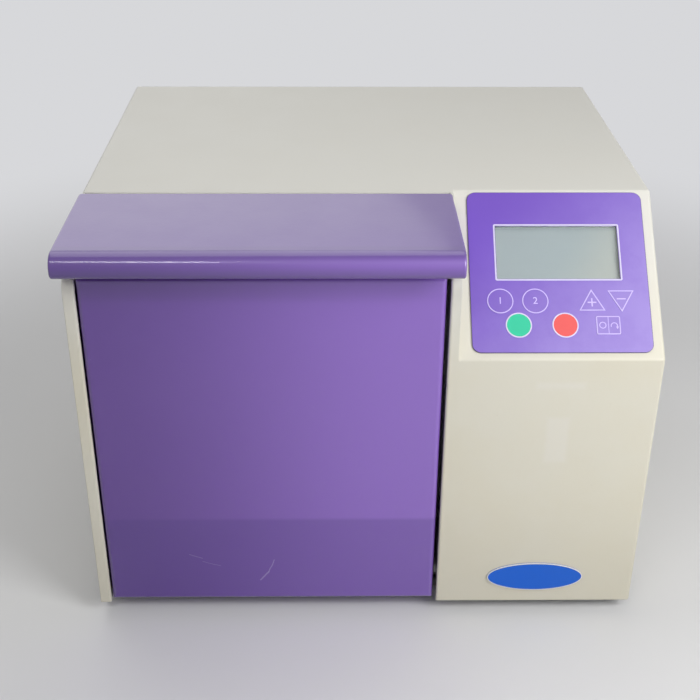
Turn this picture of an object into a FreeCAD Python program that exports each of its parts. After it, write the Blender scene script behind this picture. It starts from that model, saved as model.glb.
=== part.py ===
import FreeCAD, Part
import math
import os
import re
import Sketcher

# A bench-top paddle blender for sample bags. Millimetres, X to the right as seen from the
# front, Y to the back, Z up. The pieces are drawn from the front lower edge of the casing:
# Y counts back from the casing's front and Z up from its lower edge. The keypad's pieces are
# drawn flat, with Y up the slope and Z out of it. Each piece's placement then takes it to its
# place, so that the feet stand on Z = 0 and the whole is centred on the origin.

os.makedirs("parts", exist_ok=True)
doc = FreeCAD.newDocument("PaddleBlender")

CASING = {
    "casing_width": 400,
    "casing_depth": 345,
    "casing_height": 295,
    "sheet": 2,
    "slope_run": 92,
    "slope_drop": 86,
    "outer_round": 2.5,
    "bay_edge_round": 1.6,
    "left_cheek": 8,
    "right_cheek": 7.1,
    "column_width": 147.1,
    "cheek_drop": 23.5,
    "cheek_round": 13,
    "top_edge_setback": 7.5,
    "top_flange": 26,
    "rear_recess": 4,
    "fit_gap": 0.2,
    "part_gap": 0.3,
    "running_gap": 0.05,
    "overrun": 1,
    "foot_height": 12,
    "foot_radius": 11.5,
    "foot_base_radius": 10,
    "foot_side_inset": 28,
    "foot_front_gap": 13,
    "foot_rear_inset": 38,
    "foot_sink_depth": 5.6,
    "foot_sink_radius": 4.2,
    "foot_screw_radius": 2,
    "foot_screw_head_radius": 3.6,
    "foot_screw_head": 2.6,
    "foot_screw_end": 3,
    "panel_screw_radius": 1.6,
    "panel_screw_head_radius": 3.2,
    "panel_screw_head": 2.2,
    "panel_screw_length": 8,
    "panel_screw_inset": 8,
    "panel_screw_low": 40,
    "panel_screw_drop": 35,
    "panel_screw_rows": 3,
    "tab_reach": 14,
    "tab_height": 16,
    "vent_count": 9,
    "vent_pitch": 9,
    "vent_height": 4,
    "vent_length": 90,
    "vent_inset": 50,
    "vent_drop": 145,
    "badge_inset": 74,
    "badge_height": 23.6,
    "badge_half_length": 35.5,
    "badge_half_height": 12.5,
    "badge_thickness": 1.2,
}

CHAMBER = {
    "side_plate": 3,
    "plate_overhang": 24,
    "plate_top_gap": 0.3,
    "back_plate_thickness": 2,
    "rod_hole_gap": 2,
    "tray_front_gap": 8,
    "tray_support": 4,
    "tray_height": 10,
    "tray_wall": 1.2,
    "tray_gap": 0.5,
}

DOOR = {
    "left_gap": 1.1,
    "right_gap": 2.8,
    "door_top_gap": 1.5,
    "door_bottom": 2.5,
    "door_depth": 20,
    "door_skin": 2,
    "door_round": 3.5,
    "door_pivot_z": 12,
    "pin_radius": 4,
    "pin_outer_gap": 1.2,
    "pin_inner": 11,
    "hinge_block_width": 9,
    "hinge_block_height": 20,
    "bush_wall": 1.5,
    "bush_side_gap": 1,
    "pressure_plate": 4,
    "pressure_side_inset": 16,
    "pressure_low_inset": 17.5,
    "pressure_top_inset": 21,
    "pressure_round": 6,
    "door_screw_radius": 2,
    "door_screw_head_radius": 3.8,
    "door_screw_head": 2,
    "door_screw_length": 10,
    "door_screw_inset": 12,
}

HOOD = {
    "hood_rise": 2.5,
    "hood_sheet": 2,
    "hood_reach": 27,
    "hood_rear": 80,
    "hood_right_gap": 1.1,
    "nose_height": 16.5,
    "nose_top_round": 10,
    "nose_flat": 2,
    "lip_depth": 23,
    "skirt_gap": 1,
    "skirt_setback": 2,
    "hood_corner": 3,
    "hood_edge_round": 1.5,
    "hinge_setback": 3.5,
    "hinge_drop": 3.3,
    "knuckle_radius": 2.6,
    "hinge_pin_radius": 1.5,
    "knuckle_count": 9,
    "knuckle_gap": 0.4,
    "hinge_side_gap": 2,
    "leaf_thickness": 1.2,
    "leaf_length": 20,
    "leaf_overlap": 0.6,
    "leaf_notch": 0.4,
    "fixed_leaf_top_gap": 0.6,
    "fixed_leaf_length": 13.5,
    "clamp_side_gap": 12,
    "clamp_front": 5,
    "clamp_depth": 12,
    "clamp_web": 2.4,
    "clamp_flange": 3.5,
    "clamp_gap": 0.8,
    "clamp_rubber_thickness": 3.7,
}

DRIVE = {
    "paddle_thickness": 8,
    "bag_gap": 15,
    "paddle_end_gap": 1,
    "paddle_side_gap": 6,
    "paddle_low": 20,
    "paddle_top_inset": 40,
    "paddle_round": 10,
    "paddle_edge_round": 1.5,
    "rod_radius": 7,
    "rod_height": 110,
    "rod_flange_radius": 18,
    "rod_flange": 4,
    "guide_length": 22,
    "guide_wall": 3,
    "guide_margin": 20,
    "yoke_gap": 8,
    "yoke_wall": 8,
    "yoke_thickness": 12,
    "yoke_round": 4,
    "throw": 8,
    "shaft_radius": 6,
    "eccentric_wall": 2.5,
    "eccentric_thickness": 12,
    "roller_wall": 3.5,
    "roller_thickness": 10,
    "slot_slack": 2.2,
    "slot_end_gap": 1.5,
    "bearing_wall": 6,
    "bearing_width": 10,
    "block_width": 12,
    "block_margin": 8,
    "block_side_gap": 8,
    "shaft_left_gap": 6,
    "shaft_end_gap": 8,
    "pulley_side_gap": 6,
    "pulley_width": 18,
    "pulley_radius": 50,
    "pulley_rim": 2,
    "pulley_rim_height": 4,
    "motor_pulley_radius": 16,
    "belt_thickness": 2.5,
    "belt_side_gap": 1,
    "motor_rear_gap": 18,
    "motor_foot_gap": 6,
    "motor_radius": 42,
    "motor_pulley_gap": 14,
    "motor_end_gap": 2,
    "motor_cap": 10,
    "motor_cap_step": 4,
    "motor_shaft_radius": 5,
    "motor_shaft_depth": 40,
    "motor_shaft_end_gap": 1,
    "motor_boss_radius": 14,
    "bracket_plate": 5,
    "bracket_foot": 42,
    "supply_side_gap": 13,
    "supply_width": 85,
    "supply_front_gap": 11.5,
    "supply_rear_gap": 27,
    "supply_height": 48,
}

REAR = {
    "inlet_inset": 60,
    "inlet_z": 62,
    "inlet_width": 28,
    "inlet_height": 20,
    "inlet_depth": 26,
    "inlet_flange_width": 50,
    "inlet_flange_height": 54,
    "inlet_flange": 2.6,
    "inlet_recess": 18,
    "inlet_wall": 2.5,
    "inlet_pin_width": 2,
    "inlet_pin_height": 4,
    "inlet_pin_pitch": 7,
    "inlet_pin_inset": 5.5,
    "fuse_wall": 3.5,
    "fuse_width": 22,
    "fuse_height": 9,
    "fuse_depth": 20,
    "fuse_rise": 0.2,
    "fuse_lip": 0.8,
    "fuse_rib": 1.5,
    "switch_pitch": 48,
    "switch_width": 22,
    "switch_height": 30,
    "switch_depth": 26,
    "switch_flange": 2,
    "switch_flange_rim": 2,
    "switch_wall": 2,
    "rocker_radius": 14,
    "rocker_pin_radius": 1.5,
    "rocker_pin_cover": 0.5,
    "rocker_axis_depth": 10,
    "rocker_tilt": 8,
    "rocker_proud": 0.8,
}

KEYPAD = {
    "overlay_left_margin": 9.7,
    "overlay_right_margin": 8,
    "overlay_low": 5.2,
    "overlay_top_margin": 2.6,
    "overlay_round": 6,
    "overlay_thickness": 1.2,
    "display_left_margin": 18.7,
    "display_right_margin": 18.5,
    "display_low_margin": 53.1,
    "display_top_margin": 25.4,
    "window_sink": 0.4,
    "module_margin": 4,
    "module_depth": 8,
    "module_gap": 0.3,
    "key_gap": 0.3,
    "key_lift": 0.6,
    "key_height": 0.9,
    "round_key_radius": 8.6,
    "triangle_key_radius": 9.6,
    "mode_key_width": 15.6,
    "mode_key_height": 12.4,
    "board_margin": 5,
    "board_depth": 14,
    "board_thickness": 1.6,
    "standoff_radius": 3,
    "standoff_inset": 8,
}

SIZES = {**CASING, **CHAMBER, **DOOR, **HOOD, **DRIVE, **REAR, **KEYPAD}

PLACES = {
    "side": "casing_width / 2",
    "inner_side": "side - sheet",
    "column_left": "side - column_width",
    "cheek_right": "column_left + right_cheek",
    "cheek_wall": "cheek_right - sheet",
    "cheek_top": "casing_height - cheek_drop",
    "bay_left": "left_cheek - side",
    "bay_middle": "(bay_left + column_left) / 2",
    "bend_height": "casing_height - slope_drop",
    "slope_angle": "atan(slope_drop / slope_run)",
    "slope_length": "slope_run / cos(slope_angle)",
    "step_y": "hood_rear + fit_gap",
    "top_edge_y": "hood_rear + top_edge_setback",
    "rear_y": "casing_depth - rear_recess",
    "shift_y": "(hood_reach - casing_depth) / 2",
    "vent_left": "vent_inset - side",
    "vent_low": "casing_height - vent_drop",
    "badge_x": "side - badge_inset",
    "door_left": "bay_left + left_gap",
    "door_right": "column_left - right_gap",
    "door_top": "cheek_top - door_top_gap",
    "door_pivot_y": "door_depth / 2",
    "bush_boss": "left_cheek - sheet - side_plate - bush_side_gap",
    "pressure_low": "door_bottom + pressure_low_inset",
    "pressure_high": "door_top - pressure_top_inset",
    "hood_right": "cheek_right - hood_right_gap",
    "hood_top": "casing_height + hood_rise",
    "hood_under": "hood_top - hood_sheet",
    "skirt_z": "cheek_top + skirt_gap",
    "lip_z": "hood_top - nose_height",
    "lip_rear": "lip_depth - hood_reach",
    "nose_low_round": "nose_height - nose_top_round - nose_flat",
    "hinge_y": "hood_rear + hinge_setback",
    "hinge_z": "casing_height - hinge_drop",
    "hinge_left": "bay_left + hinge_side_gap",
    "hinge_right": "column_left - hinge_side_gap",
    "knuckle_pitch": "(hinge_right - hinge_left + knuckle_gap) / knuckle_count",
    "leaf_under": "hinge_z + knuckle_radius - leaf_overlap",
    "clamp_left": "bay_left + clamp_side_gap",
    "clamp_right": "column_left - clamp_side_gap",
    "clamp_low": "door_top + clamp_gap",
    "paddle_face": "door_depth + pressure_plate + bag_gap",
    "paddle_back": "paddle_face + paddle_thickness",
    "paddle_high": "pressure_high - paddle_top_inset",
    "paddle_width": "(column_left - bay_left - 3 * paddle_side_gap) / 2",
    "left_paddle_x": "bay_left + paddle_side_gap + paddle_width / 2",
    "right_paddle_x": "column_left - paddle_side_gap - paddle_width / 2",
    "back_plate_y": "paddle_back + rod_flange + throw + paddle_end_gap",
    "back_plate_back": "back_plate_y + back_plate_thickness",
    "plate_front": "sheet + part_gap",
    "plate_back": "back_plate_back + plate_overhang",
    "plate_top": "cheek_top - sheet - plate_top_gap",
    "tray_front": "door_depth + tray_front_gap",
    "base_front": "tray_front - tray_support",
    "foot_front_y": "back_plate_back + foot_front_gap",
    "foot_rear_y": "casing_depth - foot_rear_inset",
    "guide_back": "back_plate_back + guide_length",
    "eccentric_radius": "throw + shaft_radius + eccentric_wall",
    "roller_radius": "eccentric_radius + running_gap + roller_wall",
    "slot_half_depth": "roller_radius + slot_slack",
    "slot_half_height": "roller_radius + throw + slot_end_gap",
    "yoke_front": "guide_back + throw + yoke_gap",
    "shaft_y": "yoke_front + yoke_wall + slot_half_depth",
    "yoke_back": "shaft_y + slot_half_depth + yoke_wall",
    "bearing_radius": "shaft_radius + running_gap + bearing_wall",
    "shaft_left": "bay_left + shaft_left_gap",
    "pulley_x": "cheek_right + pulley_side_gap",
    "shaft_right": "pulley_x + pulley_width + shaft_end_gap",
    "rim_radius": "pulley_radius + pulley_rim_height",
    "motor_rim_radius": "motor_pulley_radius + pulley_rim_height",
    "motor_x": "pulley_x + pulley_width + motor_pulley_gap",
    "motor_y": "rear_y - inlet_depth - motor_rear_gap - motor_radius",
    "motor_z": "sheet + bracket_plate + motor_foot_gap + motor_radius",
    "motor_length": "inner_side - motor_end_gap - motor_cap - motor_x",
    "supply_left": "supply_side_gap - inner_side",
    "supply_front": "yoke_back + throw + supply_front_gap",
    "supply_back": "foot_rear_y - supply_rear_gap",
    "inlet_x": "side - inlet_inset",
    "switch_x": "inlet_x - switch_pitch",
    "fuse_drop": "inlet_height / 2 + fuse_wall + fuse_height / 2",
    "overlay_left": "cheek_right + overlay_left_margin",
    "overlay_right": "side - overlay_right_margin",
    "overlay_high": "slope_length - overlay_top_margin",
    "overlay_width": "overlay_right - overlay_left",
    "overlay_length": "overlay_high - overlay_low",
    "display_left": "overlay_left + display_left_margin",
    "display_right": "overlay_right - display_right_margin",
    "display_low": "overlay_low + display_low_margin",
    "display_high": "overlay_high - display_top_margin",
}


def link(formula):
    """Put the sheet's name before each size or place that a formula names."""

    def with_sheet(hit):
        word = hit.group()
        if word in SIZES:
            return "Sizes." + word
        if word in PLACES:
            return "Places." + word
        return word

    return re.sub(r"[a-z][a-z_]*", with_sheet, formula)


def make_sheet(name, contents):
    """Write names and contents in two columns, each content cell under its alias."""
    sheet = doc.addObject("Spreadsheet::Sheet", name)
    for row, (alias, content) in enumerate(contents.items(), 1):
        sheet.set(f"A{row}", alias)
        sheet.set(f"B{row}", content)
        sheet.setAlias(f"B{row}", alias)
    doc.recompute()
    return sheet


sizes = make_sheet("Sizes", {name: str(size) for name, size in SIZES.items()})
places = make_sheet("Places", {name: "=" + link(formula) for name, formula in PLACES.items()})


def value(formula):
    """Work out a formula of the sheets' names as a number."""
    result = sizes.evalExpression(link(formula))
    return float(getattr(result, "Value", result))


def bind(thing, **formulas):
    for name, formula in formulas.items():
        thing.setExpression(name, link(formula))
    return thing


def put(thing, x, y, z):
    thing.setExpression("Placement.Base.x", link(x))
    thing.setExpression("Placement.Base.y", link(y))
    thing.setExpression("Placement.Base.z", link(z))
    return thing


def block(name, x, y, z):
    """A box between two formulas on each axis."""
    box = doc.addObject("Part::Box", name)
    bind(
        box,
        Length=f"({x[1]}) - ({x[0]})",
        Width=f"({y[1]}) - ({y[0]})",
        Height=f"({z[1]}) - ({z[0]})",
    )
    return put(box, x[0], y[0], z[0])


X_AXIS = FreeCAD.Vector(1, 0, 0)
Y_AXIS = FreeCAD.Vector(0, 1, 0)
Z_AXIS = FreeCAD.Vector(0, 0, 1)


def rod(name, axis, start, radius, length):
    """A cylinder from its start along one axis."""
    cylinder = doc.addObject("Part::Cylinder", name)
    turn = FreeCAD.Rotation(Z_AXIS, axis)
    cylinder.Placement = FreeCAD.Placement(FreeCAD.Vector(), turn)
    bind(cylinder, Radius=radius, Height=length)
    return put(cylinder, *start)


def ring(name, axis, start, outer, inner, length):
    solid = rod(name + "Outer", axis, start, outer, length)
    bore = rod(name + "Bore", axis, start, inner, length)
    return cut(name, solid, bore)


def group(name, things):
    compound = doc.addObject("Part::Compound", name)
    compound.Links = list(things)
    return compound


def fuse(name, *things):
    joined = doc.addObject("Part::MultiFuse", name)
    joined.Shapes = list(things)
    joined.Refine = True
    return joined


def cut(name, base, *tools):
    result = doc.addObject("Part::Cut", name)
    result.Base = base
    result.Tool = tools[0] if len(tools) == 1 else fuse(name + "Tools", *tools)
    return result


def rounded(name, base, radius, test):
    """Round the edges whose two ends and middle all pass a test."""
    doc.recompute()
    edges = [
        (number, value(radius), value(radius))
        for number, edge in enumerate(base.Shape.Edges, 1)
        if all(test(spot) for spot in edge_spots(edge))
    ]
    fillet = doc.addObject("Part::Fillet", name)
    fillet.Base = base
    fillet.Edges = edges
    return fillet


def edge_spots(edge):
    spots = [vertex.Point for vertex in edge.Vertexes]
    middle = (edge.FirstParameter + edge.LastParameter) / 2
    return spots + [edge.valueAt(middle)]


def near(number, formula):
    return abs(number - value(formula)) < Part.Precision.confusion() * 100


def new_body(name):
    return doc.addObject("PartDesign::Body", name)


def new_sketch(body, name, plane, height="0"):
    """A sketch on one of the body's own origin planes, lifted off it along its normal."""
    support = [item for item in body.Origin.OriginFeatures if item.Role == plane][0]
    sketch = body.newObject("Sketcher::SketchObject", name)
    sketch.AttachmentSupport = [(support, "")]
    sketch.MapMode = "FlatFace"
    sketch.setExpression("AttachmentOffset.Base.z", link(height))
    return sketch


def outline(sketch, corners):
    """Draw a closed outline through corners, each two formulas, with every corner bound.

    A third formula makes the way to that corner an arc of that radius, which bulges to the
    right of the way walked."""
    spots = [FreeCAD.Vector(value(corner[0]), value(corner[1]), 0) for corner in corners]
    first = sketch.GeometryCount
    for index, start in enumerate(spots):
        after = (index + 1) % len(spots)
        draw_side(sketch, start, spots[after], *corners[after][2:])
    for index, spot in enumerate(spots):
        before = first + (index - 1) % len(spots)
        after = first + index
        ends = (before, end_at(sketch, before, spot), after, end_at(sketch, after, spot))
        sketch.addConstraint(Sketcher.Constraint("Coincident", *ends))
        bind_spot(sketch, after, end_at(sketch, after, spot), corners[index])
        if len(corners[index]) > 2:
            bind_constraint(sketch, ("Radius", before), corners[index][2])


def draw_side(sketch, start, end, arc_radius=None):
    if arc_radius is None:
        sketch.addGeometry(Part.LineSegment(start, end))
        return
    radius = value(arc_radius)
    chord = end - start
    bulge = radius - math.sqrt(max(radius**2 - (chord.Length / 2) ** 2, 0))
    right = FreeCAD.Vector(chord.y, -chord.x, 0).normalize()
    sketch.addGeometry(Part.Arc(start, (start + end) / 2 + right * bulge, end))


def end_at(sketch, index, spot):
    ends = {pos: sketch.getPoint(index, pos).distanceToPoint(spot) for pos in (1, 2)}
    return min(ends, key=ends.get)


def bind_spot(sketch, index, pos, corner):
    for kind, formula in zip(("DistanceX", "DistanceY"), corner):
        bind_constraint(sketch, (kind, -1, 1, index, pos), formula)


def bind_constraint(sketch, parts, formula):
    number = sketch.addConstraint(Sketcher.Constraint(*parts, value(formula)))
    sketch.setExpression(f"Constraints[{number}]", link(formula))


def rectangle(x, y):
    return [(x[0], y[0]), (x[1], y[0]), (x[1], y[1]), (x[0], y[1])]


def pad(body, sketch, name, length, reverse=False):
    feature = body.newObject("PartDesign::Pad", name)
    feature.Profile = sketch
    feature.Reversed = reverse
    bind(feature, Length=length)
    doc.recompute()
    return feature


def pocket(body, sketch, name, length, reverse=False):
    before = body.Shape.Volume
    feature = body.newObject("PartDesign::Pocket", name)
    feature.Profile = sketch
    feature.Reversed = reverse
    bind(feature, Length=length)
    doc.recompute()
    if body.Shape.Volume >= before:
        raise RuntimeError(f"{name} cuts nothing")
    return feature


def round_body(body, base, name, radius, test):
    names = [
        f"Edge{number}"
        for number, edge in enumerate(base.Shape.Edges, 1)
        if all(test(spot) for spot in edge_spots(edge))
    ]
    feature = body.newObject("PartDesign::Fillet", name)
    feature.Base = (base, names)
    bind(feature, Radius=radius)
    doc.recompute()
    return feature


pieces = []


def piece(label, *things):
    """Keep solids as one sub-part, under its label, at its place in the part's frame."""
    return keep(label, things, "0", "foot_height")


def slope_piece(label, *things):
    return keep(label, things, "slope_angle", "foot_height + bend_height")


def keep(label, things, angle, height):
    part = group(label, things)
    part.Placement = FreeCAD.Placement(FreeCAD.Vector(), FreeCAD.Rotation(X_AXIS, 0))
    bind(part, **{"Placement.Rotation.Angle": angle})
    put(part, "0", "shift_y", height)
    pieces.append(part)
    return part


def on_slope(name, *things):
    """Lean tools drawn flat onto the casing's slope, to cut the casing with."""
    leaning = group(name, things)
    leaning.Placement = FreeCAD.Placement(FreeCAD.Vector(), FreeCAD.Rotation(X_AXIS, 0))
    bind(leaning, **{"Placement.Rotation.Angle": "slope_angle"})
    return put(leaning, "0", "0", "bend_height")


# Casing

def column_outline(grow):
    """The side view of the column, or of its hollow one sheet inside."""
    if not grow:
        return [
            ("0", "0"),
            ("casing_depth", "0"),
            ("casing_depth", "casing_height"),
            ("slope_run", "casing_height"),
            ("0", "bend_height"),
        ]
    return [
        ("sheet", "-overrun"),
        ("casing_depth + overrun", "-overrun"),
        ("casing_depth + overrun", "casing_height - sheet"),
        ("slope_run + sheet * tan(slope_angle / 2)", "casing_height - sheet"),
        ("sheet", "bend_height - sheet * tan(45 deg - slope_angle / 2)"),
    ]


def cheek_outline(inset, low, back):
    """The side view of the cheeks: a rounded top under the hood, then a step up."""
    return [
        (inset, low),
        (back, low),
        (back, f"casing_height - {inset}"),
        (f"step_y + {inset}", f"casing_height - {inset}"),
        (f"step_y + {inset}", f"cheek_top - {inset}"),
        ("cheek_round", f"cheek_top - {inset}"),
        (inset, "cheek_top - cheek_round", f"cheek_round - {inset}"),
    ]


def casing_body():
    body = new_body("CasingBody")
    column = new_sketch(body, "ColumnOutline", "YZ_Plane", "cheek_right")
    outline(column, column_outline(False))
    pad(body, column, "Column", "side - cheek_right")
    cheeks = new_sketch(body, "CheekOutline", "YZ_Plane", "-side")
    outline(cheeks, cheek_outline("0", "0", "casing_depth"))
    whole = pad(body, cheeks, "Cheeks", "side + cheek_right")
    whole = round_body(body, whole, "SideRounds", "outer_round", on_outer_side)
    hollow = new_sketch(body, "ColumnHollow", "YZ_Plane", "inner_side")
    outline(hollow, column_outline(True))
    pocket(body, hollow, "ColumnRoom", "inner_side - cheek_wall")
    room = new_sketch(body, "CheekHollow", "YZ_Plane", "cheek_wall")
    outline(room, cheek_outline("sheet", "-overrun", "casing_depth + overrun"))
    pocket(body, room, "CheekRoom", "cheek_wall + inner_side")
    return body


def on_outer_side(spot):
    """The long edges of the right side's front, slope and top, and of the left side's top."""
    if spot.z < value("overrun") or spot.y > value("casing_depth - overrun"):
        return near(spot.x, "side") and near(spot.y, "0") or is_top_edge(spot)
    return near(spot.x, "side") or is_top_edge(spot) or is_bend(spot)


def is_bend(spot):
    """The sheet's two bends, at the foot and at the head of the slope."""
    foot = near(spot.y, "0") and near(spot.z, "bend_height")
    return foot or near(spot.y, "slope_run") and near(spot.z, "casing_height")


def is_top_edge(spot):
    return near(abs(spot.x), "side") and near(spot.z, "casing_height")


def panel_screw_places():
    numbers = range(int(value("panel_screw_rows")))
    pitch = "(casing_height - panel_screw_low - panel_screw_drop) / (panel_screw_rows - 1)"
    rows = [f"panel_screw_low + {number} * {pitch}" for number in numbers]
    return [(side, row) for side in (-1, 1) for row in rows]


def panel_screw_x(side):
    return f"{side} * (inner_side - panel_screw_inset)"


def casing_tabs():
    """Inner tabs that the rear panel is screwed to."""
    for number, (side, row) in enumerate(panel_screw_places()):
        ends = sorted(("inner_side - tab_reach", "side - fit_gap"))
        x = [f"{side} * ({end})" for end in ends]
        if side < 0:
            x.reverse()
        y = ("rear_y - 2 * sheet", "rear_y - sheet")
        z = (f"{row} - tab_height / 2", f"{row} + tab_height / 2")
        hole = rod(
            f"TabHole{number}",
            Y_AXIS,
            (panel_screw_x(side), "rear_y - 3 * sheet", row),
            "panel_screw_radius",
            "3 * sheet",
        )
        yield cut(f"Tab{number}", block(f"TabBlock{number}", x, y, z), hole)


def casing_shell():
    body = casing_body()
    bay = ("bay_left", "column_left")
    front = block("BayFront", bay, ("-overrun", "sheet"), ("-overrun", "casing_height"))
    top_z = ("cheek_top - cheek_round", "casing_height")
    top = block("BayTop", bay, ("-overrun", "top_edge_y"), top_z)
    slot = block(
        "HingeSlot",
        ("-inner_side", "cheek_wall"),
        ("step_y - overrun", "top_edge_y"),
        ("cheek_top", "casing_height + overrun"),
    )
    window = on_slope("DisplayHole", display_block("DisplayTool", "0", "-2 * sheet", "sheet"))
    flange = block(
        "TopFlange",
        ("hinge_left", "hinge_right"),
        ("top_edge_y", "top_edge_y + sheet"),
        ("casing_height - top_flange", "casing_height - sheet / 2"),
    )
    opened = cut("CasingOpened", body, front, top, slot, window)
    eased = rounded("CasingEased", opened, "bay_edge_round", on_bay_edge)
    piece("casing_shell", fuse("CasingJoined", eased, flange, *casing_tabs()))


def on_bay_edge(spot):
    """The outer edges of the cheeks beside the door, up and over their rounded tops."""
    if not (near(spot.x, "bay_left") or near(spot.x, "column_left")):
        return False
    if spot.y < value("cheek_round") and spot.z > value("cheek_top - cheek_round"):
        centre = FreeCAD.Vector(spot.x, value("cheek_round"), value("cheek_top - cheek_round"))
        return near(spot.distanceToPoint(centre), "cheek_round")
    return near(spot.y, "0") or near(spot.z, "cheek_top") and spot.y < value("step_y")


def foot_places():
    rows = ("foot_front_y", "foot_rear_y")
    return [(f"{side} * (side - foot_side_inset)", row) for side in (-1, 1) for row in rows]


def base_plate():
    back = block(
        "BasePlate",
        ("fit_gap - inner_side", "inner_side - fit_gap"),
        ("base_front", "rear_y - sheet"),
        ("0", "sheet"),
    )
    front = block(
        "BaseUnderColumn",
        ("column_left + side_plate + fit_gap", "inner_side - fit_gap"),
        ("sheet + fit_gap", "base_front + overrun"),
        ("0", "sheet"),
    )
    holes = [
        rod(f"BaseHole{number}", Z_AXIS, (x, y, "-overrun"), "foot_screw_radius", "2 * sheet")
        for number, (x, y) in enumerate(foot_places())
    ]
    piece("base_plate", cut("BaseDrilled", fuse("BaseJoined", back, front), *holes))


def feet():
    feet_made = []
    screws = []
    for number, (x, y) in enumerate(foot_places()):
        cone = doc.addObject("Part::Cone", f"FootCone{number}")
        bind(cone, Radius1="foot_base_radius", Radius2="foot_radius", Height="foot_height")
        put(cone, x, y, "-foot_height")
        sink = rod(
            f"FootSink{number}",
            Z_AXIS,
            (x, y, "-foot_height - overrun"),
            "foot_sink_radius",
            "foot_sink_depth + overrun",
        )
        bore = rod(
            f"FootBore{number}",
            Z_AXIS,
            (x, y, "-foot_height"),
            "foot_screw_radius",
            "foot_height + overrun",
        )
        feet_made.append(cut(f"Foot{number}", cone, sink, bore))
        seat = "(foot_sink_depth - foot_height)"
        head = rod(
            f"FootScrewHead{number}",
            Z_AXIS,
            (x, y, f"{seat} - foot_screw_head"),
            "foot_screw_head_radius",
            "foot_screw_head",
        )
        shank = rod(
            f"FootScrewShank{number}",
            Z_AXIS,
            (x, y, f"{seat} - foot_screw_head / 2"),
            "foot_screw_radius",
            f"sheet + foot_screw_end - {seat} + foot_screw_head / 2",
        )
        screws.append(fuse(f"FootScrew{number}", head, shank))
    piece("rubber_feet", *feet_made)
    piece("foot_screws", *screws)


def rear_panel():
    face = block(
        "RearSheet",
        ("fit_gap - inner_side", "inner_side - fit_gap"),
        ("rear_y - sheet", "rear_y"),
        ("fit_gap", "casing_height - sheet - fit_gap"),
    )
    through = ("rear_y - 2 * sheet", "rear_y + overrun")
    holes = [
        rod(
            f"RearHole{number}",
            Y_AXIS,
            (panel_screw_x(side), "rear_y - 2 * sheet", row),
            "panel_screw_radius",
            "3 * sheet",
        )
        for number, (side, row) in enumerate(panel_screw_places())
    ]
    for number in range(int(value("vent_count"))):
        low = f"vent_low + {number} * vent_pitch"
        z = (low, f"{low} + vent_height")
        x = ("vent_left", "vent_left + vent_length")
        holes.append(block(f"Vent{number}", x, through, z))
    holes.append(block("InletHole", *inlet_body_box("fit_gap", through)))
    holes.append(block("SwitchHole", *switch_box("fit_gap", through)))
    piece("rear_panel", cut("RearPanelCut", face, *holes))


def rear_panel_screws():
    screws = []
    for number, (side, row) in enumerate(panel_screw_places()):
        x = panel_screw_x(side)
        head = rod(
            f"RearScrewHead{number}",
            Y_AXIS,
            (x, "rear_y", row),
            "panel_screw_head_radius",
            "panel_screw_head",
        )
        shank = rod(
            f"RearScrewShank{number}",
            Y_AXIS,
            (x, "rear_y - panel_screw_length", row),
            "panel_screw_radius",
            "panel_screw_length + panel_screw_head / 2",
        )
        screws.append(fuse(f"RearScrew{number}", head, shank))
    piece("rear_panel_screws", *screws)


def badge_plate():
    body = new_body("BadgeBody")
    sketch = new_sketch(body, "BadgeOutline", "XZ_Plane")
    centre = FreeCAD.Vector(value("badge_x"), value("badge_height"), 0)
    half_long = value("badge_half_length")
    half_high = value("badge_half_height")
    sketch.addGeometry(Part.Ellipse(centre, half_long, half_high))
    sketch.exposeInternalGeometry(0)
    bind_spot(sketch, 0, 3, ("badge_x", "badge_height"))
    sketch.addConstraint(Sketcher.Constraint("Horizontal", 1))
    bind_constraint(sketch, ("Distance", 1), "2 * badge_half_length")
    bind_constraint(sketch, ("Distance", 2), "2 * badge_half_height")
    pad(body, sketch, "Badge", "badge_thickness")
    piece("badge_plate", body)


# Chamber

def chamber_plate(label, x):
    """A side plate with the door pin's bearing hole and a corner rounded under the cheek."""
    plate = block(label + "Block", x, ("plate_front", "plate_back"), ("sheet", "plate_top"))

    def top_front(spot):
        return near(spot.y, "plate_front") and near(spot.z, "plate_top")

    curve = "cheek_round - plate_front"
    shaped = rounded(label + "Rounded", plate, curve, top_front)
    hole = rod(
        label + "PinHole",
        X_AXIS,
        (f"{x[0]} - overrun", "door_pivot_y", "door_pivot_z"),
        "pin_radius + running_gap + bush_wall",
        "side_plate + 2 * overrun",
    )
    piece(label, cut(label + "Drilled", shaped, hole))


def chamber():
    chamber_plate("chamber_left_plate", ("bay_left - side_plate", "bay_left"))
    chamber_plate("chamber_right_plate", ("column_left", "column_left + side_plate"))
    chamber_back_plate()
    drip_tray()


def chamber_back_plate():
    """The wall behind the paddles, bent back at its top as a shelf to the hinge's flange."""
    across = ("bay_left", "column_left")
    wall = block("BackWall", across, ("back_plate_y", "back_plate_back"), ("sheet", "cheek_top"))
    shelf_z = ("cheek_top - back_plate_thickness", "cheek_top")
    shelf = block("BackShelf", across, ("back_plate_y", "top_edge_y"), shelf_z)
    holes = [
        rod(
            name + "BackHole",
            Y_AXIS,
            (x, "back_plate_y - overrun", "rod_height"),
            "rod_radius + rod_hole_gap",
            "back_plate_thickness + 2 * overrun",
        )
        for name, x in paddle_sides()
    ]
    piece("chamber_back_plate", cut("BackDrilled", fuse("BackBent", wall, shelf), *holes))


def drip_tray():
    x = ("bay_left + tray_gap", "column_left - tray_gap")
    y = ("tray_front", "back_plate_y - tray_gap")
    pan = block("TrayBlock", x, y, ("sheet", "sheet + tray_height"))
    room = block(
        "TrayRoom",
        (f"{x[0]} + tray_wall", f"{x[1]} - tray_wall"),
        (f"{y[0]} + tray_wall", f"{y[1]} - tray_wall"),
        ("sheet + tray_wall", "sheet + tray_height + overrun"),
    )
    piece("drip_tray", cut("Tray", pan, room))


# Door

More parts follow.
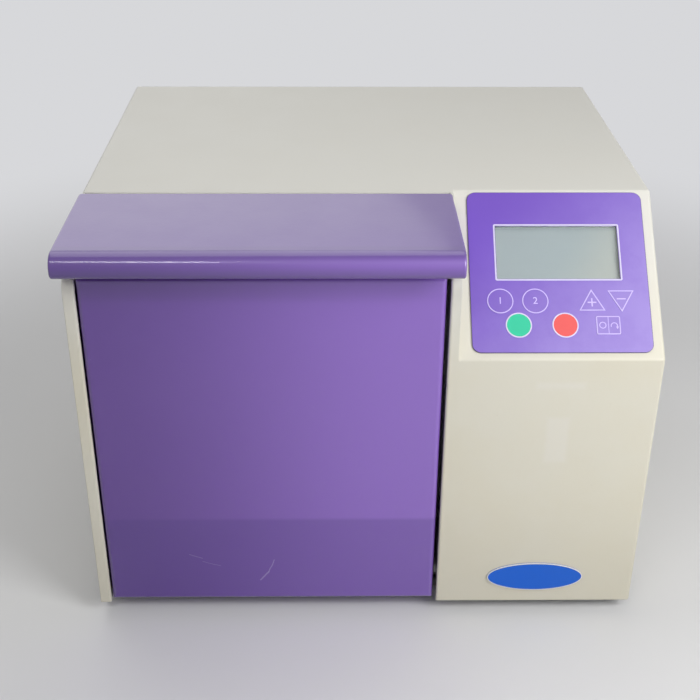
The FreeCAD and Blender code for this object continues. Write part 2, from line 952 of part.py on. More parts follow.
def door():
    door_panel()
    inner_x = ("door_left + door_skin + fit_gap", "door_right - door_skin - fit_gap")
    inner_y = ("door_depth - door_skin", "door_depth")
    inner_z = ("door_bottom + door_skin + fit_gap", "door_top - door_skin - fit_gap")
    plate_x = ("door_left + pressure_side_inset", "door_right - pressure_side_inset")
    plate_y = ("door_depth", "door_depth + pressure_plate")
    plate_z = ("pressure_low", "pressure_high")
    places = screw_places(plate_x, plate_z)
    inner = cut("InnerDrilled", block("InnerSheet", inner_x, inner_y, inner_z), *drill("Inner", places))
    piece("door_inner_plate", inner)
    plate = block("PressureBlock", plate_x, plate_y, plate_z)

    def upright(spot):
        corner_x = near(spot.x, plate_x[0]) or near(spot.x, plate_x[1])
        return corner_x and (near(spot.z, plate_z[0]) or near(spot.z, plate_z[1]))

    shaped = rounded("PressureRounded", plate, "pressure_round", upright)
    piece("door_pressure_plate", cut("PressureDrilled", shaped, *drill("Pressure", places)))
    piece("door_screws", *door_screws(places))
    door_hinge()


def screw_places(x, z):
    xs = (f"{x[0]} + door_screw_inset", f"{x[1]} - door_screw_inset")
    zs = (f"{z[0]} + door_screw_inset", f"{z[1]} - door_screw_inset")
    return [(across, up) for across in xs for up in zs]


def drill(name, spots):
    start = "door_depth - door_skin - overrun"
    length = "door_skin + pressure_plate + 2 * overrun"
    return [
        rod(f"{name}Hole{number}", Y_AXIS, (x, start, z), "door_screw_radius", length)
        for number, (x, z) in enumerate(spots)
    ]


def door_screws(spots):
    face = "door_depth + pressure_plate"
    for number, (x, z) in enumerate(spots):
        head = rod(
            f"DoorScrewHead{number}",
            Y_AXIS,
            (x, face, z),
            "door_screw_head_radius",
            "door_screw_head",
        )
        shank = rod(
            f"DoorScrewShank{number}",
            Y_AXIS,
            (x, f"{face} - door_screw_length", z),
            "door_screw_radius",
            "door_screw_length + door_screw_head / 2",
        )
        yield fuse(f"DoorScrew{number}", head, shank)


def door_panel():
    """The purple skin: a pan with its rim turned back and a pin hole in each side."""
    body = new_body("DoorBody")
    face = new_sketch(body, "DoorFace", "XZ_Plane")
    outline(face, rectangle(("door_left", "door_right"), ("door_bottom", "door_top")))
    solid = pad(body, face, "DoorPad", "door_depth", True)

    def front_edge(spot):
        return near(spot.y, "0")

    round_body(body, solid, "DoorRounds", "door_round", front_edge)
    back = new_sketch(body, "DoorRoom", "XZ_Plane", "-door_depth")
    inner_x = ("door_left + door_skin", "door_right - door_skin")
    outline(back, rectangle(inner_x, ("door_bottom + door_skin", "door_top - door_skin")))
    pocket(body, back, "DoorHollow", "door_depth - door_skin", True)
    holes = [
        rod(
            f"DoorPinHole{number}",
            X_AXIS,
            (f"{x} - overrun", "door_pivot_y", "door_pivot_z"),
            "pin_radius",
            "door_skin + 2 * overrun",
        )
        for number, x in enumerate(("door_left", "door_right - door_skin"))
    ]
    piece("door_panel", cut("DoorDrilled", body, *holes))


def door_hinge():
    """Blocks inside the door that hold its pins, and the bushes that the pins turn in."""
    blocks = []
    pins = []
    bushes = []
    inner = ("door_left + door_skin", "door_right - door_skin - hinge_block_width")
    pin_start = ("pin_outer_gap - inner_side", "door_right - pin_inner")
    pin_end = ("door_left + pin_inner", "cheek_wall - part_gap")
    bush_start = ("bay_left - side_plate - bush_boss", "column_left")
    for number in range(2):
        across = (inner[number], f"{inner[number]} + hinge_block_width")
        depth = ("door_skin", "door_depth - door_skin")
        up = ("door_bottom + door_skin", "door_bottom + door_skin + hinge_block_height")
        centre = ("door_pivot_y", "door_pivot_z")
        bore = rod(
            f"HingeBore{number}",
            X_AXIS,
            (f"{inner[number]} - overrun", *centre),
            "pin_radius",
            "hinge_block_width + 2 * overrun",
        )
        blocks.append(cut(f"HingeBlock{number}", block(f"HingeCube{number}", across, depth, up), bore))
        length = f"({pin_end[number]}) - ({pin_start[number]})"
        pins.append(rod(f"DoorPin{number}", X_AXIS, (pin_start[number], *centre), "pin_radius", length))
        bushes.append(
            ring(
                f"DoorBush{number}",
                X_AXIS,
                (bush_start[number], *centre),
                "pin_radius + running_gap + bush_wall",
                "pin_radius + running_gap",
                "side_plate + bush_boss",
            )
        )
    piece("door_hinge_blocks", *blocks)
    piece("door_hinge_pins", *pins)
    piece("door_hinge_bushes", *bushes)


# Hood

def hood():
    hood_shell()
    hood_hinge()
    x = ("clamp_left", "clamp_right")
    y = ("clamp_front", "clamp_front + clamp_depth")
    rubber_top = "clamp_low + clamp_rubber_thickness"
    middle = "clamp_front + clamp_depth / 2"
    foot = block("ClampFoot", x, y, (rubber_top, f"{rubber_top} + clamp_flange"))
    web_y = (f"{middle} - clamp_web / 2", f"{middle} + clamp_web / 2")
    web = block("ClampWeb", x, web_y, (rubber_top, "hood_under"))
    head = block("ClampHead", x, y, ("hood_under - clamp_flange", "hood_under"))
    piece("bag_clamp_bar", fuse("ClampBar", foot, web, head))
    piece("clamp_rubber", block("ClampStrip", x, y, ("clamp_low", rubber_top)))


def hood_outline():
    front = "-hood_reach"
    return [
        ("hood_rear", "hood_under"),
        ("hood_rear", "hood_top"),
        (f"{front} + nose_top_round", "hood_top"),
        (front, "hood_top - nose_top_round", "nose_top_round"),
        (front, "lip_z + nose_low_round"),
        (f"{front} + nose_low_round", "lip_z", "nose_low_round"),
        ("lip_rear", "lip_z"),
        ("lip_rear", "skirt_z"),
        ("hood_rear - skirt_setback", "skirt_z"),
        ("hood_rear - skirt_setback", "hood_under"),
    ]


def hood_room():
    front = "hood_sheet - hood_reach"
    top_round = "nose_top_round - hood_sheet"
    low_round = "nose_low_round - hood_sheet"
    return [
        ("hood_rear + overrun", "hood_under"),
        (f"{front} + {top_round}", "hood_under"),
        (front, f"hood_under - ({top_round})", top_round),
        (front, "lip_z + nose_low_round"),
        (f"{front} + {low_round}", "lip_z + hood_sheet", low_round),
        ("lip_rear", "lip_z + hood_sheet"),
        ("lip_rear", "skirt_z - nose_height"),
        ("hood_rear + overrun", "skirt_z - nose_height"),
    ]


def hood_shell():
    body = new_body("HoodBody")
    shape = new_sketch(body, "HoodOutline", "YZ_Plane", "-side")
    outline(shape, hood_outline())
    solid = pad(body, shape, "HoodPad", "side + hood_right")

    def rear_corner(spot):
        return near(spot.y, "hood_rear") and (near(spot.x, "-side") or near(spot.x, "hood_right"))

    def outer_edge(spot):
        """The rims of both ends, round the nose to the lip, and the rear edge of the top."""
        at_end = near(spot.x, "-side") or near(spot.x, "hood_right")
        over_lip = spot.z > value("lip_z - skirt_gap") and spot.y < value("hood_rear - skirt_setback")
        at_rear = near(spot.z, "hood_top") and spot.y > value("hood_rear - 2 * hood_corner")
        return at_end and over_lip or at_rear

    solid = round_body(body, solid, "HoodCorners", "hood_corner", rear_corner)
    round_body(body, solid, "HoodEdges", "hood_edge_round", outer_edge)
    room = new_sketch(body, "HoodRoom", "YZ_Plane", "hood_right - hood_sheet")
    outline(room, hood_room())
    pocket(body, room, "HoodHollow", "side + hood_right - 2 * hood_sheet")
    piece("hood_shell", body)


def knuckles(name, first, top):
    """Every second knuckle of the hinge, and the strip that joins it to its leaf."""
    for number in range(first, int(value("knuckle_count")), 2):
        left = f"hinge_left + {number} * knuckle_pitch"
        right = f"{left} + knuckle_pitch - knuckle_gap"
        start = (left, "hinge_y", "hinge_z")
        yield rod(f"{name}{number}", X_AXIS, start, "knuckle_radius", "knuckle_pitch - knuckle_gap")
        if top:
            y = ("hinge_y - knuckle_radius - overrun", "hinge_y")
            z = ("leaf_under", "hood_under")
        else:
            y = ("hinge_y + knuckle_radius - leaf_thickness", "hinge_y + knuckle_radius")
            z = ("hinge_z - knuckle_radius - overrun", "hinge_z")
        yield block(f"{name}Strip{number}", (left, right), y, z)


def hinge_pin(name, radius):
    start = ("hinge_left", "hinge_y", "hinge_z")
    return rod(name, X_AXIS, start, radius, "hinge_right - hinge_left")


def hood_hinge():
    """A long hinge of knuckles under the gap between the hood and the casing's top."""
    across = ("hinge_left", "hinge_right")
    notch = "hinge_y - knuckle_radius - leaf_notch"
    moving = block("MovingLeaf", across, (f"{notch} - leaf_length", notch), ("leaf_under", "hood_under"))
    joined = fuse("MovingJoined", moving, *knuckles("MovingKnuckle", 1, True))
    bore = hinge_pin("MovingBore", "hinge_pin_radius + running_gap")
    piece("hood_moving_leaf", cut("MovingBored", joined, bore))
    leaf_top = "hinge_z - knuckle_radius - fixed_leaf_top_gap"
    fixed = block(
        "FixedLeaf",
        across,
        ("hinge_y + knuckle_radius - leaf_thickness", "top_edge_y"),
        (f"{leaf_top} - fixed_leaf_length", leaf_top),
    )
    joined = fuse("FixedJoined", fixed, *knuckles("FixedKnuckle", 0, False))
    bore = hinge_pin("FixedBore", "hinge_pin_radius")
    piece("hood_fixed_leaf", cut("FixedBored", joined, bore))
    piece("hood_hinge_pin", hinge_pin("HingePin", "hinge_pin_radius"))


# Paddles and their drive

def paddle_sides():
    return (("left", "left_paddle_x"), ("right", "right_paddle_x"))


def paddles():
    for name, x in paddle_sides():
        paddle(name, x)
        push_rod(name, x)
        yoke(name, x)


def paddle(name, x):
    body = new_body(name + "PaddleBody")
    face = new_sketch(body, name + "PaddleFace", "XZ_Plane", "-paddle_face")
    across = (f"{x} - paddle_width / 2", f"{x} + paddle_width / 2")
    outline(face, rectangle(across, ("paddle_low", "paddle_high")))
    solid = pad(body, face, name + "PaddlePad", "paddle_thickness", True)

    def corner(spot):
        at_side = near(spot.x, across[0]) or near(spot.x, across[1])
        return at_side and (near(spot.z, "paddle_low") or near(spot.z, "paddle_high"))

    solid = round_body(body, solid, name + "PaddleCorners", "paddle_round", corner)

    def face_edge(spot):
        return near(spot.y, "paddle_face")

    round_body(body, solid, name + "PaddleRim", "paddle_edge_round", face_edge)
    piece(name + "_paddle", body)


def push_rod(name, x):
    start = (x, "paddle_back", "rod_height")
    flange = rod(name + "RodFlange", Y_AXIS, start, "rod_flange_radius", "rod_flange")
    stem = rod(name + "RodStem", Y_AXIS, start, "rod_radius", "yoke_front - paddle_back")
    piece(name + "_push_rod", fuse(name + "Rod", flange, stem))


def yoke(name, x):
    """A frame whose slot is driven to and fro by the eccentric's roller."""
    across = (f"{x} - yoke_thickness / 2", f"{x} + yoke_thickness / 2")
    outer_z = "slot_half_height + yoke_wall"
    frame_y = ("yoke_front", "yoke_back")
    frame_z = (f"rod_height - ({outer_z})", f"rod_height + {outer_z}")
    solid = block(name + "YokeBlock", across, frame_y, frame_z)

    def corner(spot):
        end = near(spot.y, frame_y[0]) or near(spot.y, frame_y[1])
        return end and (near(spot.z, frame_z[0]) or near(spot.z, frame_z[1]))

    solid = rounded(name + "YokeRounded", solid, "yoke_round", corner)
    slot = block(
        name + "YokeSlot",
        (f"{across[0]} - overrun", f"{across[1]} + overrun"),
        ("shaft_y - slot_half_depth", "shaft_y + slot_half_depth"),
        ("rod_height - slot_half_height", "rod_height + slot_half_height"),
    )
    piece(name + "_yoke", cut(name + "Yoke", solid, slot))


def guides():
    x = ("left_paddle_x - guide_margin", "right_paddle_x + guide_margin")
    y = ("back_plate_back", "guide_back")
    z = ("rod_height - guide_margin", "rod_height + guide_margin")
    bores = []
    bushes = []
    for name, centre in paddle_sides():
        start = (centre, "back_plate_back", "rod_height")
        outer = "rod_radius + running_gap + guide_wall"
        bores.append(rod(name + "GuideBore", Y_AXIS, start, outer, "guide_length"))
        inner = "rod_radius + running_gap"
        bushes.append(ring(name + "GuideBush", Y_AXIS, start, outer, inner, "guide_length"))
    piece("guide_block", cut("GuideBored", block("GuideCube", x, y, z), *bores))
    piece("guide_bushes", *bushes)


def block_places():
    return ("bay_left + block_side_gap + block_width", "bay_middle", "column_left - block_side_gap")


def crank_shaft():
    start = ("shaft_left", "shaft_y", "rod_height")
    piece("eccentric_shaft", rod("CrankShaft", X_AXIS, start, "shaft_radius", "shaft_right - shaft_left"))
    discs = []
    rollers = []
    for (name, x), way in zip(paddle_sides(), (1, -1)):
        height = f"rod_height + {way} * throw"
        edge = (f"{x} - eccentric_thickness / 2", "shaft_y", height)
        disc = rod(name + "Disc", X_AXIS, edge, "eccentric_radius", "eccentric_thickness")
        bore = rod(
            name + "DiscBore",
            X_AXIS,
            (edge[0], "shaft_y", "rod_height"),
            "shaft_radius",
            "eccentric_thickness",
        )
        discs.append(cut(name + "Eccentric", disc, bore))
        edge = (f"{x} - roller_thickness / 2", "shaft_y", height)
        inner = "eccentric_radius + running_gap"
        rollers.append(ring(name + "Roller", X_AXIS, edge, "roller_radius", inner, "roller_thickness"))
    piece("eccentrics", *discs)
    piece("eccentric_rollers", *rollers)


def shaft_bearings():
    blocks = []
    bearings = []
    half = "bearing_radius + block_margin"
    for number, x in enumerate(block_places()):
        across = (f"{x} - block_width / 2", f"{x} + block_width / 2")
        depth = (f"shaft_y - ({half})", f"shaft_y + {half}")
        solid = block(f"BearingCube{number}", across, depth, ("sheet", f"rod_height + {half}"))
        start = (across[0], "shaft_y", "rod_height")
        bore = rod(f"BearingSeat{number}", X_AXIS, start, "bearing_radius", "block_width")
        blocks.append(cut(f"BearingBlock{number}", solid, bore))
        edge = (f"{x} - bearing_width / 2", "shaft_y", "rod_height")
        inner = "shaft_radius + running_gap"
        bearings.append(ring(f"Bearing{number}", X_AXIS, edge, "bearing_radius", inner, "bearing_width"))
    piece("bearing_blocks", *blocks)
    piece("shaft_bearings", *bearings)


def flanged_pulley(label, y, z, radius, rim, bore_radius):
    start = ("pulley_x", y, z)
    drum = rod(label + "Drum", X_AXIS, start, radius, "pulley_width")
    near_rim = rod(label + "NearRim", X_AXIS, start, rim, "pulley_rim")
    far = ("pulley_x + pulley_width - pulley_rim", y, z)
    far_rim = rod(label + "FarRim", X_AXIS, far, rim, "pulley_rim")
    bore = rod(label + "Bore", X_AXIS, start, bore_radius, "pulley_width")
    piece(label, cut(label + "Bored", fuse(label + "Joined", drum, near_rim, far_rim), bore))


def loop_face(big, small, gap):
    """The flat face inside a belt line round two circles, grown by a gap."""
    first, second = sorted((big, small), key=lambda circle: circle[0].x)
    run = second[0] - first[0]
    along = run.normalize()
    across = Z_AXIS.cross(along)
    span = second[0].distanceToPoint(first[0])
    lean = (first[1] - second[1]) / span
    rise = math.sqrt(1 - lean**2)
    edges = []
    touches = []
    for way in (1, -1):
        normal = along * lean + across * (rise * way)
        touches.append([centre + normal * (radius + gap) for centre, radius in (first, second)])
    (up_first, up_second), (low_first, low_second) = touches
    nose = first[0] - along * (first[1] + gap)
    tail = second[0] + along * (second[1] + gap)
    edges.append(Part.LineSegment(up_first, up_second).toShape())
    edges.append(Part.Arc(up_second, tail, low_second).toShape())
    edges.append(Part.LineSegment(low_second, low_first).toShape())
    edges.append(Part.Arc(low_first, nose, up_first).toShape())
    return Part.Face(Part.Wire(edges))


def drive_belt():
    """The belt's loop, drawn flat round both pulleys and then turned upright."""
    big = (FreeCAD.Vector(value("shaft_y"), value("rod_height"), 0), value("pulley_radius"))
    small = (FreeCAD.Vector(value("motor_y"), value("motor_z"), 0), value("motor_pulley_radius"))
    gap = value("part_gap")
    outer = loop_face(big, small, gap + value("belt_thickness"))
    inner = loop_face(big, small, gap)
    width = value("pulley_width - 2 * (pulley_rim + belt_side_gap)")
    solid = outer.cut(inner).extrude(Z_AXIS * width)
    belt = doc.addObject("Part::Feature", "BeltLoop")
    belt.Shape = solid
    upright = FreeCAD.Rotation(Y_AXIS, Z_AXIS, X_AXIS, "XYZ")
    left = FreeCAD.Vector(value("pulley_x + pulley_rim + belt_side_gap"), 0, 0)
    belt.Placement = FreeCAD.Placement(left, upright)
    piece("drive_belt", belt)


def motor():
    start = ("motor_x", "motor_y", "motor_z")
    case = rod("MotorCase", X_AXIS, start, "motor_radius", "motor_length")
    cap_start = ("motor_x + motor_length - overrun", "motor_y", "motor_z")
    cap = rod("MotorCap", X_AXIS, cap_start, "motor_radius - motor_cap_step", "motor_cap + overrun")
    boss_start = ("motor_x - bracket_plate", "motor_y", "motor_z")
    boss = rod("MotorBoss", X_AXIS, boss_start, "motor_boss_radius", "bracket_plate + overrun")
    bore = rod(
        "MotorBore",
        X_AXIS,
        boss_start,
        "motor_shaft_radius + running_gap",
        "bracket_plate + motor_shaft_depth",
    )
    piece("motor_body", cut("MotorBored", fuse("MotorJoined", case, cap, boss), bore))
    plate = block(
        "BracketPlate",
        ("motor_x - bracket_plate", "motor_x"),
        ("motor_y - motor_radius", "motor_y + motor_radius"),
        ("sheet", "motor_z + motor_radius"),
    )
    foot = block(
        "BracketFoot",
        ("motor_x - bracket_plate", "motor_x + bracket_foot"),
        ("motor_y - motor_radius", "motor_y + motor_radius"),
        ("sheet", "sheet + bracket_plate"),
    )
    hole = rod("BracketHole", X_AXIS, boss_start, "motor_boss_radius", "bracket_plate")
    piece("motor_bracket", cut("BracketDrilled", fuse("BracketJoined", plate, foot), hole))
    shaft_start = ("pulley_x", "motor_y", "motor_z")
    length = "motor_x - pulley_x + motor_shaft_depth - motor_shaft_end_gap"
    piece("motor_shaft", rod("MotorSpindle", X_AXIS, shaft_start, "motor_shaft_radius", length))


def power_supply():
    case = block(
        "SupplyCase",
        ("supply_left", "supply_left + supply_width"),
        ("supply_front", "supply_back"),
        ("sheet", "sheet + supply_height"),
    )
    piece("power_supply", case)


# Rear fittings

def centred(middle, size, grow="0"):
    return (f"{middle} - {size} / 2 - {grow}", f"{middle} + {size} / 2 + {grow}")


def inlet_body_box(grow, y):
    """The inlet's housing: the socket and the fuse drawer's bay below it."""
    low = f"inlet_z - fuse_drop - fuse_height / 2 - inlet_wall - {grow}"
    high = f"inlet_z + inlet_height / 2 + inlet_wall + {grow}"
    return centred("inlet_x", "(inlet_width + 2 * inlet_wall)", grow), y, (low, high)


def mains_inlet():
    face = "rear_y + inlet_flange"
    body = block("InletBody", *inlet_body_box("0", ("rear_y - inlet_depth", "rear_y")))
    middle = "inlet_z - fuse_drop / 2"
    flange = block(
        "InletFlange",
        centred("inlet_x", "inlet_flange_width"),
        ("rear_y", face),
        centred(middle, "inlet_flange_height"),
    )
    recess = block(
        "InletRecess",
        centred("inlet_x", "inlet_width"),
        (f"{face} - inlet_recess", f"{face} + overrun"),
        centred("inlet_z", "inlet_height"),
    )
    drawer = block("FuseBay", *fuse_box("part_gap", f"{face} - fuse_depth", f"{face} + overrun"))
    shell = cut("InletShell", fuse("InletJoined", body, flange), recess, drawer)
    pins = [
        block(
            f"InletPin{number}",
            centred(f"inlet_x + {number} * inlet_pin_pitch", "inlet_pin_width"),
            (f"{face} - inlet_recess", f"{face} - inlet_pin_inset"),
            centred(f"inlet_z + (1 - abs({number})) * inlet_pin_height", "inlet_pin_height"),
        )
        for number in (-1, 0, 1)
    ]
    piece("mains_inlet", fuse("InletWhole", shell, *pins))
    fuse_drawer(face)


def fuse_box(grow, back, front):
    middle = "inlet_z - fuse_drop"
    return centred("inlet_x", "fuse_width", grow), (back, front), centred(middle, "fuse_height", grow)


def fuse_drawer(face):
    case = block("FuseCase", *fuse_box("0", f"{face} - fuse_depth + part_gap", f"{face} + fuse_rise"))
    rib = block(
        "FuseRib",
        centred("inlet_x", "fuse_width"),
        (face, f"{face} + fuse_lip"),
        centred("inlet_z - fuse_drop", "fuse_rib"),
    )
    piece("fuse_drawer", fuse("FuseWhole", case, rib))


def switch_box(grow, y):
    across = centred("switch_x", "switch_width", grow)
    return across, y, centred("inlet_z", "switch_height", grow)


def power_switch():
    """A rocker in a frame, turning on a pin across it."""
    front = "rear_y + switch_flange"
    body = block("SwitchBody", *switch_box("0", ("rear_y - switch_depth", "rear_y")))
    flange = block("SwitchFlange", *switch_box("switch_flange_rim", ("rear_y", front)))
    room_y = ("rear_y - switch_depth + switch_wall", f"{front} + overrun")
    room = block("SwitchRoom", *switch_box("-switch_wall", room_y))
    axis_y = f"{front} - rocker_axis_depth"
    pin_length = "switch_width - 2 * rocker_pin_cover"
    pin_start = (f"switch_x - ({pin_length}) / 2", axis_y, "inlet_z")
    hole = rod("SwitchPinHole", X_AXIS, pin_start, "rocker_pin_radius + running_gap", pin_length)
    piece("switch_housing", cut("SwitchCut", fuse("SwitchJoined", body, flange), room, hole))
    piece("power_rocker", rocker(axis_y, pin_length))


def rocker(axis_y, pin_length):
    """The rocker, drawn level round its own pin and then tipped to its off end."""
    across = centred("switch_x", "switch_width", "-(switch_wall + part_gap)")
    width = f"({across[1]}) - ({across[0]})"
    radius = "switch_height / 2 - switch_wall - part_gap"
    drum = rod("RockerDrum", X_AXIS, (across[0], "0", "0"), radius, width)
    front = block(
        "RockerFront",
        (f"{across[0]} - overrun", f"{across[1]} + overrun"),
        ("rocker_axis_depth + rocker_proud", "rocker_radius + rocker_proud"),
        centred("0", "switch_height"),
    )
    pin_start = (f"switch_x - ({pin_length}) / 2", "0", "0")
    pin = rod("RockerPin", X_AXIS, pin_start, "rocker_pin_radius", pin_length)
    tipped = group("RockerTipped", [fuse("RockerWhole", cut("RockerCut", drum, front), pin)])
    tipped.Placement = FreeCAD.Placement(FreeCAD.Vector(), FreeCAD.Rotation(X_AXIS, 0))
    bind(tipped, **{"Placement.Rotation.Angle": "rocker_tilt"})
    return put(tipped, "0", axis_y, "inlet_z")


# Keypad on the slope

def display_block(name, grow, low, high):
    x = (f"display_left - ({grow})", f"display_right + {grow}")
    y = (f"display_low - ({grow})", f"display_high + {grow}")
    return block(name, x, y, (low, high))


def key_solid(name, shape, x, row, grow, low, height):
    """A key's flat solid, or the hole it sits in when grown by a gap."""
    if shape == "round":
        return rod(name, Z_AXIS, (x, row, low), f"round_key_radius + {grow}", height)
    if shape == "square":
        across = centred(x, "mode_key_width", grow)
        return block(name, across, centred(row, "mode_key_height", grow), (low, f"{low} + {height}"))
    prism = doc.addObject("Part::Prism", name)
    prism.Polygon = 3
    up = shape == "up"
    prism.Placement = FreeCAD.Placement(FreeCAD.Vector(), FreeCAD.Rotation(Z_AXIS, 90 if up else -90))
    bind(prism, Circumradius=f"triangle_key_radius + 2 * {grow}", Height=height)
    return put(prism, x, row, low)


# Each key's shape, and its centre as shares of the overlay's width and length

KEY_SHARES = {
    "key_one": ("round", 0.164, 0.312),
    "key_two": ("round", 0.36, 0.312),
    "key_start": ("round", 0.261, 0.164),
    "key_stop": ("round", 0.52, 0.164),
    "key_up": ("up", 0.676, 0.296),
    "key_down": ("down", 0.841, 0.332),
    "key_mode": ("square", 0.759, 0.163),
}


def keypad():
    across = ("overlay_left", "overlay_right")
    along = ("overlay_low", "overlay_high")
    film = block("OverlayFilm", across, along, ("0", "overlay_thickness"))

    def corner(spot):
        at_side = near(spot.x, across[0]) or near(spot.x, across[1])
        return at_side and (near(spot.y, along[0]) or near(spot.y, along[1]))

    film = rounded("OverlayRounded", film, "overlay_round", corner)
    holes = [display_block("OverlayWindow", "0", "-overrun", "overlay_thickness + overrun")]
    for label, (shape, across_share, along_share) in KEY_SHARES.items():
        x = f"(overlay_left + {across_share} * overlay_width)"
        row = f"(overlay_low + {along_share} * overlay_length)"
        hole = key_solid(label + "Hole", shape, x, row, "key_gap", "-overrun", "4 * overrun")
        holes.append(hole)
        slope_piece(label, key_solid(label + "Solid", shape, x, row, "0", "key_lift", "key_height"))
    slope_piece("keypad_overlay", cut("OverlayCut", film, *holes))
    window = display_block("WindowBlock", "-fit_gap", "-sheet", "overlay_thickness - window_sink")
    slope_piece("display_window", window)
    module_top = "-sheet - module_gap"
    module = display_block("ModuleBlock", "module_margin", f"{module_top} - module_depth", module_top)
    slope_piece("display_module", module)
    control_board(across, along)


def control_board(across, along):
    x = (f"{across[0]} + board_margin", f"{across[1]} - board_margin")
    y = (f"{along[0]} + board_margin", f"{along[1]} - board_margin")
    top = "-board_depth"
    slope_piece("control_board", block("Board", x, y, (f"{top} - board_thickness", top)))
    xs = (f"{x[0]} + standoff_inset", f"{x[1]} - standoff_inset")
    ys = (f"{y[0]} + standoff_inset", f"{y[1]} - standoff_inset")
    posts = [
        rod(f"Standoff{number}", Z_AXIS, (sx, sy, top), "standoff_radius", "board_depth - sheet")
        for number, (sx, sy) in enumerate((a, b) for a in xs for b in ys)
    ]
    slope_piece("board_standoffs", *posts)


casing_shell()
base_plate()
feet()
rear_panel()
rear_panel_screws()
badge_plate()
chamber()
door()
hood()
paddles()
guides()
crank_shaft()
shaft_bearings()
flanged_pulley("shaft_pulley", "shaft_y", "rod_height", "pulley_radius", "rim_radius", "shaft_radius")
flanged_pulley(
    "motor_pulley",
    "motor_y",
    "motor_z",
    "motor_pulley_radius",
    "motor_rim_radius",
    "motor_shaft_radius",
)
drive_belt()
motor()
power_supply()
mains_inlet()
power_switch()
keypad()

doc.recompute()
failed = [thing.Label for thing in doc.Objects if {"Invalid", "Error"} & set(thing.State)]
if failed:
    raise RuntimeError(f"These objects failed: {failed}")
for part in pieces:
    if part.Shape.isNull() or not part.Shape.isValid():
        raise RuntimeError(f"{part.Label} has no valid shape")
for part in pieces:
    part.Shape.exportStep(f"parts/{part.Label}.step")
print(len(pieces), "sub-parts written")
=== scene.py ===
import math

import bmesh
import bpy
from mathutils import Matrix, Vector


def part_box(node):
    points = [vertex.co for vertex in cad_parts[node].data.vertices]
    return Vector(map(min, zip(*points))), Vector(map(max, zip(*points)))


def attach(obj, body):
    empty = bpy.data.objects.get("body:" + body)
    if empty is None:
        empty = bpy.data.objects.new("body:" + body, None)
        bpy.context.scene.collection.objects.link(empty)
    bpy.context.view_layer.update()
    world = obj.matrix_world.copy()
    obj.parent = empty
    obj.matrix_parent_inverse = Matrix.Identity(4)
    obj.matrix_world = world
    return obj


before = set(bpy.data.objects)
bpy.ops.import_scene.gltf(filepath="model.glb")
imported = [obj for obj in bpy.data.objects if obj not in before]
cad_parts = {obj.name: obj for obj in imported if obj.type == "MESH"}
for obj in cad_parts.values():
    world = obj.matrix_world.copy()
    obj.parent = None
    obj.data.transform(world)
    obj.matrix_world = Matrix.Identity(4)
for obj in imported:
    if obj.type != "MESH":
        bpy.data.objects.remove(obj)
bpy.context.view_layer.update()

# Lengths on the part are written in millimetres and turned into metres with MM
MM = 0.001
X, Y, Z = Vector((1, 0, 0)), Vector((0, 1, 0)), Vector((0, 0, 1))


# Shader nodes

def node(tree, kind, inputs=None, **settings):
    """Add one shader node, with its settings, and join or set its inputs."""
    made = tree.nodes.new("ShaderNode" + kind)
    for name, setting in settings.items():
        setattr(made, name, setting)
    for name, source in (inputs or {}).items():
        feed(tree, made.inputs[name], source)
    return made


def feed(tree, socket, source):
    """Join another node's output to a socket, or set the socket's own value."""
    if isinstance(source, bpy.types.NodeSocket):
        tree.links.new(source, socket)
    elif socket.type == "RGBA":
        socket.default_value = (*source[:3], 1)
    else:
        socket.default_value = source


def maths(tree, operation, *values):
    return node(tree, "Math", dict(enumerate(values)), operation=operation).outputs[0]


def vector_maths(tree, operation, *values):
    return node(tree, "VectorMath", dict(enumerate(values)), operation=operation)


def spread(tree, value, start, end):
    """Turn a value between start and end into one between 0 and 1, eased at both ends."""
    inputs = {"Value": value, "From Min": start, "From Max": end}
    return node(tree, "MapRange", inputs, interpolation_type="SMOOTHSTEP").outputs[0]


def blend_colours(tree, share, first, second):
    mixer = node(tree, "Mix", data_type="RGBA")
    factor, colour_a, colour_b = mixer.inputs[0], mixer.inputs[6], mixer.inputs[7]
    for socket, source in ((factor, share), (colour_a, first), (colour_b, second)):
        feed(tree, socket, source)
    return mixer.outputs[2]


def here(tree):
    """Where a point lies on its piece, in the part's own frame."""
    return node(tree, "TexCoord").outputs["Object"]


def noise(tree, grain, detail=2.0, stretch=None, roughness=0.5, seed=0.0):
    """Soft noise with spots of about the given size; stretch draws them out along the axes."""
    where = here(tree)
    if stretch:
        where = vector_maths(tree, "MULTIPLY", where, stretch).outputs[0]
    inputs = {"Vector": where, "W": seed, "Detail": detail, "Roughness": roughness}
    made = node(tree, "TexNoise", inputs, noise_dimensions="4D")
    scale = maths(tree, "DIVIDE", 1.0, grain) if isinstance(grain, bpy.types.NodeSocket) else 1 / grain
    feed(tree, made.inputs["Scale"], scale)
    return made.outputs["Fac"]


def effect(name, inputs, outputs, build):
    """A shared effect: a node group with named inputs and outputs, built once."""
    tree = bpy.data.node_groups.new(name, "ShaderNodeTree")
    for title, default in inputs.items():
        kind = "NodeSocketVector" if isinstance(default, tuple) else "NodeSocketFloat"
        tree.interface.new_socket(title, in_out="INPUT", socket_type=kind).default_value = default
    for title, kind in outputs.items():
        tree.interface.new_socket(title, in_out="OUTPUT", socket_type="NodeSocket" + kind)
    source = tree.nodes.new("NodeGroupInput")
    target = tree.nodes.new("NodeGroupOutput")
    results = build(tree, source.outputs)
    for title, result in results.items():
        tree.links.new(result, target.inputs[title])
    return tree


def use(tree, group, **values):
    """Place a shared effect in a material, with values of its own."""
    placed = node(tree, "Group", node_tree=group)
    for title, value in values.items():
        feed(tree, placed.inputs[title.replace("_", " ").capitalize()], value)
    return placed.outputs


# Shared effects

